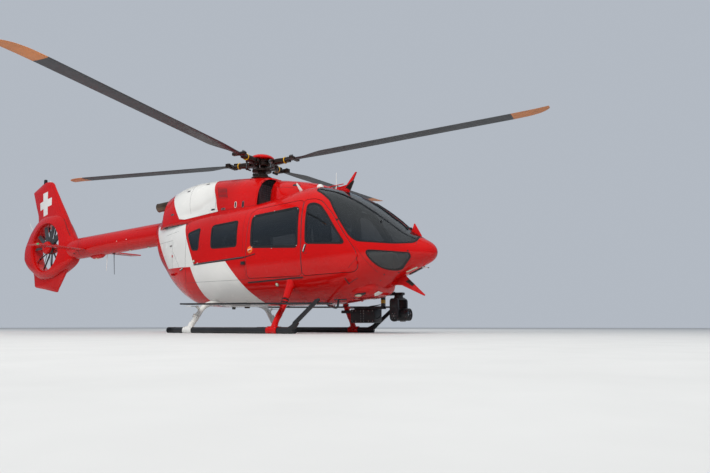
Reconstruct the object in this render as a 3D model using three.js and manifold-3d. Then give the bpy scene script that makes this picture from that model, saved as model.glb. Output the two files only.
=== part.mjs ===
// A twin-engine rescue helicopter with a shrouded tail fan, parked on its skids.
// Millimetres, +X forward, +Y to the left (port), +Z up, floor at Z = 0.
// Every place is measured from the main rotor's axis, and the last lines move the whole
// group forward so that its origin is the middle of its bounding box on the floor.
import * as THREE from 'three';
import { mergeVertices } from 'three/addons/utils/BufferGeometryUtils.js';
import Module from 'manifold-3d';

const wasm = await Module();
wasm.setup();

// Driving dimensions
const ORIGIN_SHIFT = 1335;
const SEAM = 0.3;
const DOOR_GAP = 9;
const GLASS = 8;
const SKIN = 45;
const FLOOR_Z = 935;
const ROOF_SINK = 60;

const ROTOR_RADIUS = 5500;
const BLADE_Z = 3286;
const CONING = 2.69;
const ROTOR_ANGLE = 7.09;
const BLADE_CHORD = 295;
const HUB_ARM = 560;

const FAN = { x: -7070, z: 2090, radius: 585, clearance: 12, blades: 10 };
const BOOM = { start: -2760, end: -5930, height: 500, width: 430, startZ: 2110, endZ: 1990 };

const SKID = { y: 1200, radius: 55, height: 50, aft: -950, bend: 1640 };
const LEG = { frontX: 1376, rearX: -570, radius: 48 };

// Sensor turret: pan axis, tilt height, the camera barrel's radius and its reach ahead of and behind the axis
const TURRET = { x: 2660, y: 668, panZ: 605, tiltZ: 320, barrel: 108, front: 220, rear: 115 };
const EAR = { inner: 135, thick: 46, half: 82, low: 200, shoulder: 560 };

// Vertical door hinges of the right side: axis x and y, the webs' reach inwards, barrel heights
const DOOR_HINGE = { x: 2677, y: -722, reach: 56, barrels: [1120, 1235] };
const CLAMSHELL_HINGE = { x: -1626, y: -744, reach: 78, barrels: [1120, 1480] };
const BARREL = { radius: 9, length: 44, cap: 22, room: 17 };

// Materials
const paint = (color, roughness = 0.25, metalness = 0.1) => ({ color, roughness, metalness });
const RED = paint(0xd8150f);
const WHITE = paint(0xf2f0ea);
const BLACK = paint(0x17181a, 0.55);
const DARK_METAL = paint(0x3a3633, 0.45, 0.8);
const TINTED = paint(0x1b2227, 0.08);
const GREY = paint(0x55585c, 0.7);
const BLADE_GREY = paint(0x3a3d42, 0.5);

const root = new THREE.Group();

const material = (look) => new THREE.MeshStandardMaterial(look);

// Geometry helpers
function toSolid(geometry) {
  const bare = geometry.clone();
  bare.deleteAttribute('normal');
  bare.deleteAttribute('uv');
  const merged = mergeVertices(bare, 1e-3);
  return new wasm.Manifold(new wasm.Mesh({
    numProp: 3,
    vertProperties: Float32Array.from(merged.attributes.position.array),
    triVerts: Uint32Array.from(merged.index.array),
  }));
}

function toGeometry(solid) {
  const mesh = solid.getMesh();
  const geometry = new THREE.BufferGeometry();
  geometry.setAttribute('position', new THREE.BufferAttribute(mesh.vertProperties, 3));
  geometry.setIndex(new THREE.BufferAttribute(mesh.triVerts, 1));
  geometry.computeVertexNormals();
  return geometry;
}

function add(name, solid, look, parent = root) {
  const mesh = new THREE.Mesh(toGeometry(solid), material(look));
  mesh.name = name;
  parent.add(mesh);
  return mesh;
}

const join = (...solids) => solids.reduce((sum, solid) => sum.add(solid));
const moved = (geometry, x, y, z) => toSolid(geometry.translate(x, y, z));
const mirrorY = (solid) => solid.mirror([0, 1, 0]);

function box(x0, x1, y0, y1, z0, z1) {
  const geometry = new THREE.BoxGeometry(x1 - x0, y1 - y0, z1 - z0);
  return moved(geometry, (x0 + x1) / 2, (y0 + y1) / 2, (z0 + z1) / 2);
}

const outline = (points) => new THREE.Shape(points.map(([a, b]) => new THREE.Vector2(a, b)));

// A side outline (x, z) given thickness from y0 to y1
function sidePrism(points, y0, y1) {
  const geometry = new THREE.ExtrudeGeometry(outline(points), { depth: y1 - y0, bevelEnabled: false });
  return moved(geometry.rotateX(Math.PI / 2), 0, y1, 0);
}

// Closed body through rings that hold equally many points; the diagonals mirror across y = 0
function loft(rings) {
  const count = rings[0].length;
  const positions = rings.flat(2);
  const index = [];
  for (let i = 0; i < rings.length - 1; i += 1) {
    for (let j = 0; j < count; j += 1) {
      const a = i * count + j;
      const b = i * count + ((j + 1) % count);
      const leftHalf = rings[i][j][1] + rings[i][(j + 1) % count][1] > 0;
      if (leftHalf) index.push(a, b, b + count, a, b + count, a + count);
      else index.push(a, b, a + count, b, b + count, a + count);
    }
  }
  for (const [ring, flip] of [[0, true], [rings.length - 1, false]]) {
    const centre = [0, 1, 2].map((k) => rings[ring].reduce((sum, p) => sum + p[k], 0) / count);
    const middle = positions.length / 3;
    positions.push(...centre);
    for (let j = 0; j < count; j += 1) {
      const a = ring * count + j;
      const b = ring * count + ((j + 1) % count);
      index.push(...(flip ? [b, a, middle] : [a, b, middle]));
    }
  }
  const geometry = new THREE.BufferGeometry();
  geometry.setAttribute('position', new THREE.Float32BufferAttribute(positions, 3));
  geometry.setIndex(index);
  const solid = toSolid(geometry);
  if (solid.volume() > 0) return solid;
  const flipped = [];
  for (let i = 0; i < index.length; i += 3) flipped.push(index[i], index[i + 2], index[i + 1]);
  geometry.setIndex(flipped);
  return toSolid(geometry);
}

// Bar of round section along a smooth curve
function bar(points, radius, { sides = 10, steps = 12 } = {}) {
  const curve = new THREE.CatmullRomCurve3(points.map((p) => new THREE.Vector3(...p)), false, 'centripetal');
  const section = new THREE.Shape();
  section.absellipse(0, 0, radius, radius, 0, Math.PI * 2);
  const shape = new THREE.Shape(section.getPoints(sides).slice(0, -1));
  return toSolid(new THREE.ExtrudeGeometry(shape, { steps, extrudePath: curve, bevelEnabled: false }));
}

// Straight round rod between two points
function rod(from, to, r0, r1 = r0, sides = 12) {
  const a = new THREE.Vector3(...from);
  const b = new THREE.Vector3(...to);
  const geometry = new THREE.CylinderGeometry(r1, r0, a.distanceTo(b), sides);
  const turn = new THREE.Quaternion().setFromUnitVectors(
    new THREE.Vector3(0, 1, 0), b.clone().sub(a).normalize());
  const place = new THREE.Matrix4().makeRotationFromQuaternion(turn);
  place.setPosition(a.add(b).multiplyScalar(0.5));
  return toSolid(geometry.applyMatrix4(place));
}

// Body of revolution about the vertical axis; the profile is (radius, z) from the axis to the axis
function turned(profile, sides = 20) {
  const points = profile.map(([r, z]) => new THREE.Vector2(r, z));
  return toSolid(new THREE.LatheGeometry(points, sides).rotateX(Math.PI / 2));
}

// Outline moved outwards by a distance, with mitred corners
function grown(points, distance) {
  const area = points.reduce((sum, [x, y], i) => {
    const [nx, ny] = points[(i + 1) % points.length];
    return sum + x * ny - nx * y;
  }, 0);
  const side = Math.sign(area);
  return points.map((point, i) => {
    const before = points[(i + points.length - 1) % points.length];
    const after = points[(i + 1) % points.length];
    const normal = ([ax, ay], [bx, by]) => {
      const length = Math.hypot(bx - ax, by - ay);
      return [side * (by - ay) / length, side * (ax - bx) / length];
    };
    const [ux, uy] = normal(before, point);
    const [vx, vy] = normal(point, after);
    const spread = distance / (1 + ux * vx + uy * vy);
    return [point[0] + (ux + vx) * spread, point[1] + (uy + vy) * spread];
  });
}

// The pod: superellipse sections from the nose to the boom's root.
// Columns: x, bottom, top, half width, height of the widest line, lower power, upper power
const POD = [
  [3722, 1248, 1356, 55, 1300, 2.0, 2.0],
  [3665, 1168, 1432, 150, 1296, 1.8, 2.0],
  [3530, 1096, 1520, 258, 1296, 1.75, 2.1],
  [3330, 1016, 1640, 385, 1306, 1.8, 2.2],
  [3060, 905, 1862, 548, 1330, 1.95, 2.3],
  [2750, 715, 2095, 700, 1360, 2.15, 2.5],
  [2400, 585, 2310, 795, 1400, 2.35, 2.7],
  [2000, 520, 2480, 850, 1450, 2.6, 3.0],
  [1600, 495, 2560, 870, 1480, 2.8, 3.2],
  [1000, 488, 2470, 876, 1500, 2.9, 3.3],
  [200, 485, 2380, 878, 1500, 3.0, 3.3],
  [-600, 485, 2360, 872, 1500, 3.0, 3.2],
  [-1150, 505, 2360, 835, 1520, 2.8, 3.0],
  [-1550, 630, 2360, 755, 1570, 2.5, 2.8],
  [-1900, 830, 2370, 655, 1660, 2.3, 2.6],
  [-2200, 1095, 2375, 540, 1760, 2.2, 2.4],
  [-2450, 1340, 2375, 430, 1860, 2.2, 2.2],
  [-2650, 1680, 2370, 310, 2010, 2.0, 2.0],
  [BOOM.start, 1858, 2362, 217, 2110, 2.0, 2.0],
];
const POD_POINTS = 24;

function podRing([x, bottom, top, half, wide, low, high], shrink = 0, sink = shrink, rise = shrink,
  count = POD_POINTS) {
  return Array.from({ length: count }, (_, i) => {
    const angle = (i / count) * Math.PI * 2;
    const power = Math.sin(angle) < 0 ? low : high;
    const across = Math.sign(Math.cos(angle)) * Math.abs(Math.cos(angle)) ** (2 / power);
    const up = Math.sign(Math.sin(angle)) * Math.abs(Math.sin(angle)) ** (2 / power);
    const reach = up < 0 ? wide - bottom - rise : top - sink - wide;
    return [x, across * (half - shrink), wide + up * reach];
  });
}

const CAVITY_FRONT = 3290;
const CAVITY_REAR = -2500;
const podOuter = loft(POD.map((row) => podRing(row)));
const cavityRows = POD.filter(([x], i) => x < CAVITY_FRONT && x > CAVITY_REAR && i % 2 === 0);
const podInner = loft(cavityRows.map((row) => podRing(row, SKIN, ROOF_SINK, SKIN + 25, 16)));
const aboveFloor = box(-3000, 4000, -1200, 1200, FLOOR_Z + SEAM, 3000);
const cavity = podInner.intersect(aboveFloor);
const podClear = loft(POD.map((row) => podRing(row, -SEAM)));

// Side outlines (x, z) of what is cut through the shell
const FRONT_DOOR = [
  [1672, 950], [2590, 985], [2664, 1050], [2664, 1300], [2470, 1590], [2230, 1950],
  [2010, 2180], [1880, 2240], [1672, 2240],
];
const FRONT_DOOR_GLASS = [
  [1752, 1485], [2475, 1440], [2350, 1620], [2130, 1950], [1990, 2110], [1860, 2165], [1752, 2150],
];
const SLIDING_DOOR = [
  [500, 950], [1655, 950], [1655, 2215], [1560, 2240], [560, 2190], [480, 2120], [440, 1500], [450, 1000],
];
const SLIDING_DOOR_GLASS = [
  [600, 1500], [1545, 1440], [1575, 1480], [1575, 2070], [1530, 2110], [600, 2055], [560, 2010], [560, 1550],
];
const AFT_WINDOW = [[-430, 1545], [180, 1540], [205, 1580], [200, 1975], [170, 2000], [-440, 1965]];
const SMALL_WINDOW = [[-945, 1545], [-780, 1540], [-765, 1925], [-800, 1945], [-1080, 1885], [-1095, 1850]];
const WINDSHIELD = [
  [1760, 2700], [1765, 2440], [1960, 2330], [2130, 2200], [2330, 1900], [2560, 1560], [2680, 1470],
  [3200, 1425], [3490, 1440], [3460, 1700],
];
const CHIN_WINDOW = [
  [2800, 1320], [3150, 1290], [3420, 1265], [3400, 1190], [3200, 1010], [3010, 1020], [2870, 1160],
];
const NOSE_SEAM = [[3500, 1400], [3290, 900], [3900, 900], [3900, 1800], [3500, 1800]];
const CLAMSHELL = [[-1640, 955], [-3000, 955], [-3000, 1790], [-1640, 1790]];

const OUT = 1300;
const CENTRE_POST = 35;

const halfSpace = { left: (inner = 0) => [inner, OUT], right: (inner = 0) => [-OUT, -inner] };

function pair(baseName, make, look) {
  const right = make();
  add(`${baseName}_right`, right, look);
  add(`${baseName}_left`, mirrorY(right), look);
}

// Hinge with its barrels on the leaf that turns and a cap over and under each on the fixed side
function hinge({ x, y, reach, barrels }, leafSide) {
  const upright = (r, z0, z1) => rod([x, y, z0], [x, y, z1], r, r, 12);
  const web = (side, z0, z1) => box(
    Math.min(x + side * 7, x + side * 30), Math.max(x + side * 7, x + side * 30), y - 6, y + reach, z0, z1);
  const each = (make) => join(...barrels.map((z) => make(z, z + BARREL.length)));
  return {
    leaf: each((z0, z1) => upright(BARREL.radius, z0, z1).add(web(leafSide, z0, z1))),
    fixed: each((z0, z1) => join(
      upright(BARREL.radius, z1 + SEAM, z1 + BARREL.cap),
      upright(BARREL.radius, z0 - BARREL.cap, z0 - SEAM),
      web(-leafSide, z1 + SEAM, z1 + BARREL.cap),
      web(-leafSide, z0 - BARREL.cap, z0 - SEAM),
    )),
    room: each((z0, z1) => upright(BARREL.room, z0 - SEAM, z1 + SEAM)),
  };
}
const doorHinge = hinge(DOOR_HINGE, -1);
const clamshellHinge = hinge(CLAMSHELL_HINGE, -1);

const sideCut = (points, inner = 0) => sidePrism(points, ...halfSpace.right(inner));
const bothSides = (solid) => solid.add(mirrorY(solid));

const shell = podOuter.intersect(aboveFloor).subtract(cavity);
const skinBand = podOuter.subtract(loft(POD.slice(2, -1).map((row) => podRing(row, GLASS))));

const frontDoorCut = sideCut(grown(FRONT_DOOR, DOOR_GAP), 300);
const slidingDoorCut = sideCut(grown(SLIDING_DOOR, SEAM), 300);
const clamshellCut = sideCut(grown(CLAMSHELL, DOOR_GAP));
const windshieldCut = sideCut(grown(WINDSHIELD, SEAM), CENTRE_POST);
const chinCut = sideCut(grown(CHIN_WINDOW, SEAM), 60);
const aftCut = sideCut(grown(AFT_WINDOW, SEAM), 400);
const smallCut = sideCut(grown(SMALL_WINDOW, SEAM), 400);

// Nose, shell and hull
const noseRegion = sidePrism(NOSE_SEAM, -OUT, OUT);
add('nose_cone', podOuter.intersect(noseRegion), RED);

const noseRegionGrown = sidePrism(grown(NOSE_SEAM, SEAM), -OUT, OUT);
const notNose = podOuter.subtract(noseRegionGrown);
const REAR_JOINT = -1150;
const ROOF = { low: 2275, front: 1700 };
const upperShell = notNose.intersect(shell)
  .subtract(bothSides(frontDoorCut))
  .subtract(bothSides(slidingDoorCut))
  .subtract(bothSides(windshieldCut))
  .subtract(bothSides(chinCut))
  .subtract(bothSides(aftCut))
  .subtract(bothSides(smallCut));
const ahead = box(REAR_JOINT + SEAM, 4000, -OUT, OUT, 0, 3500);
const behind = box(-3000, REAR_JOINT, -OUT, OUT, 0, 3500);
const roofRegion = (grow) => box(-3000, ROOF.front + grow, -OUT, OUT, ROOF.low - grow, 3500);
add('cabin_roof', upperShell.intersect(ahead).intersect(roofRegion(0)), RED);
const flatBlade = (points, half) => sidePrism(points, -half, half);
const deflector = flatBlade([[3270, 1600], [3465, 1500], [3470, 1580], [3352, 1785], [3336, 1790]], 9);
add('cabin_frame', upperShell.intersect(ahead).subtract(roofRegion(SEAM)).subtract(bothSides(doorHinge.room))
  .add(bothSides(doorHinge.fixed)).add(deflector), RED);
add('rear_fuselage', upperShell.intersect(behind).subtract(bothSides(clamshellCut))
  .subtract(bothSides(clamshellHinge.room)).add(bothSides(clamshellHinge.fixed)), WHITE);

// Cross tubes of the landing gear, which run through tunnels in the hull.
// Rows from the skid to the middle: y, z
const FRONT_TUBE = [
  [-1200, 50], [-1140, 175], [-1060, 295], [-940, 450], [-860, 620], [-790, 770], [-690, 868], [-500, 885],
];
const REAR_TUBE = [
  [-1200, 50], [-1150, 140], [-1050, 255], [-930, 410], [-850, 480], [-740, 525], [-590, 548], [-400, 560],
];
const STEP = { y: 1150, aft: -790, fore: 2450, z: 480, rise: 50, half: 95, thick: 26 };
const saddle = (x, y) => rod([x - 90, y, SKID.height], [x + 90, y, SKID.height], SKID.radius + 14,
  SKID.radius + 14, 10);
const skidClear = (y) => rod([SKID.aft - 50, y, SKID.height], [SKID.bend + 20, y, SKID.height],
  SKID.radius + SEAM, SKID.radius + SEAM, 10);
function crossTubeBar(x, half, grow = 0) {
  const whole = [...half, ...half.map(([y, z]) => [-y, z]).reverse()].map(([y, z]) => [x, y, z]);
  return bar(whole, LEG.radius + grow, { sides: 4, steps: 26 });
}
const stepBoard = (grow) => sidePrism(grown([
  [STEP.aft, STEP.z + STEP.rise], [STEP.fore, STEP.z], [STEP.fore, STEP.z - STEP.thick],
  [STEP.aft, STEP.z + STEP.rise - STEP.thick],
], grow), -STEP.y - STEP.half - grow, -STEP.y + STEP.half + grow);
const STEP_STRUT = { foot: [-940, 400], head: [-1110, 560], radius: 24 };
// Streamlined sleeve on the upper end of a front leg
const SLEEVE = { foot: [-868, 610], head: [-745, 852], thin: 54, wide: 82 };
const legSleeve = rod([LEG.frontX, ...SLEEVE.foot], [LEG.frontX, ...SLEEVE.head], SLEEVE.thin, SLEEVE.wide);
function crossTube(x, half) {
  const aboveGround = box(-9000, 9000, -OUT, OUT, 1.5, 3000);
  const belowBoard = sidePrism([[-3000, 0], [4000, 0], [4000, STEP.z - STEP.thick - SEAM - 24.5],
    [STEP.fore, STEP.z - STEP.thick - SEAM], [STEP.aft, STEP.z + STEP.rise - STEP.thick - SEAM],
    [-3000, STEP.z + STEP.rise - STEP.thick - SEAM]], -OUT, 0);
  const strut = rod([x, ...STEP_STRUT.foot], [x, ...STEP_STRUT.head], STEP_STRUT.radius).intersect(belowBoard);
  return join(crossTubeBar(x, half), saddle(x, -SKID.y), saddle(x, SKID.y), bothSides(strut))
    .intersect(aboveGround)
    .subtract(skidClear(-SKID.y)).subtract(skidClear(SKID.y));
}
const belowFloor = box(-3000, 4000, -OUT, OUT, 0, FLOOR_Z);
const HULL_NOSE = 2120;
// Fairing under the front of the belly, in the columns of the pod
const BELLY_FAIRING = [
  [1900, 560, 900, 380, 800, 3.2, 3.2],
  [2150, 565, 900, 430, 800, 3.2, 3.2],
  [2450, 580, 900, 470, 800, 3.2, 3.2],
  [2700, 628, 900, 400, 800, 3.2, 3.2],
  [2765, 662, 900, 350, 800, 3.0, 3.0],
  [2800, 720, 900, 290, 820, 2.6, 2.6],
];
const hull = notNose.intersect(belowFloor)
  .add(loft(BELLY_FAIRING.map((row) => podRing(row))).intersect(belowFloor));
const LAMP = { radius: 75, right: [2500, -380], left: [2380, 370], top: 700, face: 592 };
const lamp = ([x, y]) => rod([x - 10, y, LAMP.top], [x + 10, y, LAMP.face], LAMP.radius, LAMP.radius, 16);
// Raised part of the floor between the seats, where a stretcher stands
const floorPad = box(260, 1590, -620, 620, FLOOR_Z - 5, FLOOR_Z + 10);
add('lower_hull', hull.intersect(box(-3000, HULL_NOSE, -OUT, OUT, 0, 3500))
  .add(floorPad)
  .subtract(crossTubeBar(LEG.frontX, FRONT_TUBE, 1)).subtract(crossTubeBar(LEG.rearX, REAR_TUBE, 1)), RED);
add('cross_tube_front', crossTube(LEG.frontX, FRONT_TUBE).add(bothSides(legSleeve.subtract(podClear))), RED);
add('cross_tube_rear', crossTube(LEG.rearX, REAR_TUBE), WHITE);
const bellyCutter = flatBlade([[2850, 900], [3140, 980], [3200, 900], [3517, 617], [3500, 600],
  [3100, 790], [2850, 800]], 14);
add('nose_underside', hull.intersect(box(HULL_NOSE + SEAM, 4000, -OUT, OUT, 0, 3500))
  .add(lamp(LAMP.right)).add(lamp(LAMP.left))
  .add(bellyCutter.intersect(belowFloor).subtract(noseRegionGrown)), RED);

// Doors with their panes
function doorPiece(points, panePoints) {
  return shell.intersect(sideCut(points, 300)).subtract(sideCut(grown(panePoints, SEAM), 300));
}
const pane = (points, inner = 0) => skinBand.intersect(shell).intersect(sideCut(points, inner));
const capRoom = (h, wide) => join(...h.barrels.flatMap((z) => [
  rod([h.x, h.y, z - BARREL.cap - wide], [h.x, h.y, z - 0.01], BARREL.room, BARREL.room, 12),
  rod([h.x, h.y, z + BARREL.length + 0.01], [h.x, h.y, z + BARREL.length + BARREL.cap + wide], BARREL.room,
    BARREL.room, 12),
]));
pair('front_door', () => doorPiece(FRONT_DOOR, FRONT_DOOR_GLASS)
  .subtract(capRoom(DOOR_HINGE, 6)).add(doorHinge.leaf), RED);
pair('front_door_glass', () => pane(FRONT_DOOR_GLASS, 300), TINTED);
pair('sliding_door', () => doorPiece(SLIDING_DOOR, SLIDING_DOOR_GLASS), RED);
pair('sliding_door_glass', () => pane(SLIDING_DOOR_GLASS, 300), TINTED);
pair('aft_window', () => pane(AFT_WINDOW, 400), TINTED);
pair('small_window', () => pane(SMALL_WINDOW, 400), TINTED);
pair('windshield', () => pane(WINDSHIELD, CENTRE_POST + SEAM), TINTED);
pair('chin_window', () => pane(CHIN_WINDOW, 60), TINTED);
pair('clamshell_door', () => shell.intersect(sideCut(CLAMSHELL, DOOR_GAP / 2))
  .subtract(capRoom(CLAMSHELL_HINGE, 6)).add(clamshellHinge.leaf), RED);

// Upper deck. Columns: x, base, top, half width, power
const DECK_POINTS = 12;
function deckRing([x, base, top, half, power], shrink = 0) {
  return Array.from({ length: DECK_POINTS + 1 }, (_, i) => {
    const angle = (i / DECK_POINTS) * Math.PI;
    const across = Math.sign(Math.cos(angle)) * Math.abs(Math.cos(angle)) ** (2 / power);
    const up = Math.sin(angle) ** (2 / power);
    return [x, across * (half - shrink), base + up * (top - shrink - base)];
  });
}
const ROOF_FAIRING = [
  [1740, 2300, 2545, 260, 2.4],
  [1560, 2250, 2640, 420, 2.4],
  [1250, 2200, 2725, 520, 2.6],
  [900, 2200, 2790, 540, 2.8],
  [560, 2200, 2850, 390, 3.0],
];
const COWLING = [
  [430, 2100, 2905, 640, 3.0],
  [0, 2100, 2945, 675, 3.2],
  [-700, 2100, 2990, 705, 3.2],
  [-1250, 2100, 3010, 715, 3.0],
  [-1700, 2100, 2972, 685, 2.8],
  [-2130, 2100, 2858, 600, 2.6],
];
const roofCutter = flatBlade([[1700, 2500], [2060, 2440], [2060, 2520], [2214, 2811], [2185, 2815],
  [2010, 2600], [1700, 2570]], 14);
add('roof_fairing', loft(ROOF_FAIRING.map((row) => deckRing(row))).add(roofCutter).subtract(podClear), RED);
const COWL_SKIN = 30;
const cowlOuter = loft(COWLING.map((row) => deckRing(row)));
const innerRows = COWLING.map(([x, ...rest], i) => [i === 0 ? x + 50 : Math.max(x, -2060), ...rest]);
const cowlInner = loft(innerRows.map((row) => deckRing(row, COWL_SKIN)));
const mastHole = turned([[0, 2500], [230, 2500], [230, 3100], [0, 3100]], 16);
add('engine_cowling', cowlOuter.subtract(cowlInner).subtract(podClear).subtract(mastHole), WHITE);
const EXHAUST = { y: 300, startX: -2140, endX: -2520, startZ: 2630, endZ: 2560, radius: 95 };
const exhaustRod = (grow) => rod([-2080, -EXHAUST.y + 10, EXHAUST.startZ + 12],
  [EXHAUST.endX, -EXHAUST.y - 90, EXHAUST.endZ + 30], EXHAUST.radius + grow, EXHAUST.radius - 5 + grow, 16);
add('rear_cowl', loft([
  deckRing([-2135, 2100, 2650, 575, 2.6]),
  deckRing([-2350, 2100, 2550, 450, 2.4]),
  deckRing([-2600, 2100, 2420, 260, 2.2]),
]).subtract(podClear).subtract(bothSides(exhaustRod(2))), RED);

// Engines and gearbox in one plain block
add('powerplant', join(
  box(-300, 200, -300, 300, 2300, 2800),
  box(-1700, -200, -420, 420, 2300, 2700),
).subtract(podClear), GREY);

pair('exhaust', () => {
  const from = [EXHAUST.startX, -EXHAUST.y, EXHAUST.startZ + 5];
  const behindCowl = box(-3000, -2130.4, -OUT, OUT, 0, 3000);
  const inner = [EXHAUST.endX - 40, -EXHAUST.y - 99, EXHAUST.endZ + 24];
  return exhaustRod(0)
    .subtract(rod(from, inner, EXHAUST.radius - 12, EXHAUST.radius - 14, 16))
    .intersect(behindCowl);
}, DARK_METAL);

// Tail boom: a tube from the pod to the shroud
const BOOM_POINTS = 16;
function ovalRing(x, centre, width, height, shrink = 0) {
  return Array.from({ length: BOOM_POINTS }, (_, i) => {
    const angle = (i / BOOM_POINTS) * Math.PI * 2;
    return [x, Math.cos(angle) * (width / 2 - shrink), centre + Math.sin(angle) * (height / 2 - shrink)];
  });
}
const boomRing = (x, shrink) => {
  const t = (x - BOOM.start) / (BOOM.end - BOOM.start);
  const z = BOOM.startZ + (BOOM.endZ - BOOM.startZ) * t;
  return ovalRing(x, z, BOOM.width - 20 * t, BOOM.height + 10 * t, shrink);
};
const BOOM_SKIN = 12;
// The boom's end narrows to a plug that sits in the shroud
const PLUG = { x: -6240, width: 300, height: 400 };
const plugRing = (grow) => ovalRing(PLUG.x - grow, BOOM.endZ, PLUG.width + 2 * grow, PLUG.height + 2 * grow);
const boomTube = loft([boomRing(BOOM.start - SEAM), boomRing(BOOM.end), plugRing(0)]);
const boomHollow = loft([boomRing(BOOM.start + 200, BOOM_SKIN), boomRing(BOOM.end + 40, BOOM_SKIN)]);
// Lamp fairing and aerial under the boom
const lampFairing = loft([
  ovalRing(-4790, 1800, 40, 40),
  ovalRing(-4950, 1775, 120, 130),
  ovalRing(-5200, 1770, 130, 140),
  ovalRing(-5390, 1790, 50, 60),
]);
const boomAerial = rod([-4487, 0, 1850], [-4432, 0, 1299], 10, 8, 6);
add('tail_boom', boomTube.add(lampFairing).add(boomAerial).subtract(boomHollow), RED);
const boomSocket = loft([boomRing(BOOM.start - SEAM, -SEAM), boomRing(BOOM.end, -SEAM), plugRing(SEAM)]);

// Shroud and fins: level sections from the lower tip to the top.
// Columns: z, leading x, trailing x, half thickness, half thickness at the rear, roundness of the ends
const TAIL = [
  [958, -6625, -6720, 16, 14, 0.8],
  [1040, -6585, -7190, 34, 24, 0.8],
  [1117, -6531, -7650, 46, 26, 0.8],
  [1290, -6412, -7703, 78, 34, 0.75],
  [1400, -6320, -7745, 165, 100, 0.6],
  [1500, -6200, -7840, 200, 140, 0.5],
  [1620, -6040, -7965, 207, 147, 0.47],
  [1756, -5933, -8085, 210, 150, 0.45],
  [1870, -5933, -8143, 210, 155, 0.45],
  [2000, -5933, -8150, 210, 155, 0.45],
  [2130, -5933, -8125, 210, 155, 0.45],
  [2310, -6010, -8030, 207, 145, 0.45],
  [2490, -6110, -7905, 200, 130, 0.45],
  [2760, -6340, -7700, 165, 90, 0.55],
  [2917, -6480, -7708, 125, 45, 0.65],
  [3230, -6722, -7851, 85, 20, 0.7],
  [3630, -7011, -8030, 60, 14, 0.75],
  [3760, -7105, -7727, 54, 18, 0.75],
  [3823, -7200, -7580, 46, 20, 0.75],
  [3839, -7290, -7500, 30, 16, 0.75],
];
const TAIL_POINTS = 16;
function tailRing([z, lead, trail, half, rear, round]) {
  return Array.from({ length: TAIL_POINTS }, (_, i) => {
    const angle = (i / TAIL_POINTS) * Math.PI * 2;
    const along = (1 - Math.cos(angle)) / 2;
    const x = lead + (trail - lead) * along;
    const thick = half + (rear - half) * along ** 3;
    return [x, -Math.sign(Math.sin(angle)) * Math.abs(Math.sin(angle)) ** round * thick, z];
  });
}
const DUCT_SIDES = 32;
const ductProfile = [[0, -260], [650, -260], [650, -215], [618, -200], [598, -165], [FAN.radius, -100],
  [FAN.radius, 100], [598, 165], [618, 200], [650, 215], [650, 260], [0, 260]];
const BEACON = { x: -7512, low: 3800, high: 3930, radius: 42 };
const beacon = rod([BEACON.x, 0, BEACON.low], [BEACON.x, 0, BEACON.high], BEACON.radius, BEACON.radius - 8, 12);
const acrossTail = (solid) => solid.rotate([90, 0, 0]).translate([FAN.x, 0, FAN.z]);
add('tail_fin', loft(TAIL.map(tailRing)).subtract(boomSocket)
  .subtract(acrossTail(turned(ductProfile, DUCT_SIDES))).add(beacon), RED);

// Fan: fixed vanes and gearbox on the left, the turning wheel on the right
const STATOR = { hub: 150, vanes: 11, from: 20, to: 75 };
const vane = (angle, y0, y1, r0, r1, half) => acrossTail(
  toSolid(new THREE.BoxGeometry(r1 - r0, 2 * half, y1 - y0)
    .translate((r0 + r1) / 2, 0, (y0 + y1) / 2).rotateZ(angle)));
const statorHub = acrossTail(turned([[0, -170], [90, -160], [140, -110], [STATOR.hub, -60],
  [STATOR.hub, -10], [45, -10], [45, 9.7], [0, 9.7]], 16));
const stator = Array.from({ length: STATOR.vanes }, (_, i) => vane(
  (i / STATOR.vanes) * Math.PI * 2 + 0.2, -55, -25, 120, FAN.radius * Math.cos(Math.PI / DUCT_SIDES) - SEAM, 8));
add('fan_stator', join(statorHub, ...stator), RED);
const FAN_TIP = FAN.radius - FAN.clearance;
const fanHub = acrossTail(turned([[0, 10], [150, 10], [160, 30], [160, 90], [135, 130], [70, 160], [0, 166]], 16));
const fanBlades = Array.from({ length: FAN.blades }, (_, i) => {
  const blade = new THREE.BoxGeometry(FAN_TIP - 130, 90, 12)
    .rotateX(0.6).translate((FAN_TIP + 130) / 2, 0, 55).rotateZ((i / FAN.blades) * Math.PI * 2);
  return acrossTail(toSolid(blade));
});
add('fan_rotor', join(fanHub, ...fanBlades), DARK_METAL);

// Stabiliser halves against the boom's sides
const STABILISER = { lead: -5280, trail: -5690, z: 1925, tip: 1375, half: 26 };
const boomClear = loft([boomRing(BOOM.start, -SEAM), boomRing(BOOM.end, -SEAM)]);
pair('stabiliser', () => {
  const section = [[0, 0], [0.08, 0.7], [0.3, 1], [0.65, 0.7], [1, 0.12]].map(([t, h]) => [t, STABILISER.half * h]);
  const chord = STABILISER.trail - STABILISER.lead;
  const upper = section.map(([t, h]) => [STABILISER.lead + chord * t, STABILISER.z + h]);
  const lower = section.slice(1).reverse().map(([t, h]) => [STABILISER.lead + chord * t, STABILISER.z - h]);
  return sidePrism([...upper, ...lower], -STABILISER.tip, -100).subtract(boomClear);
}, RED);

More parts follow.
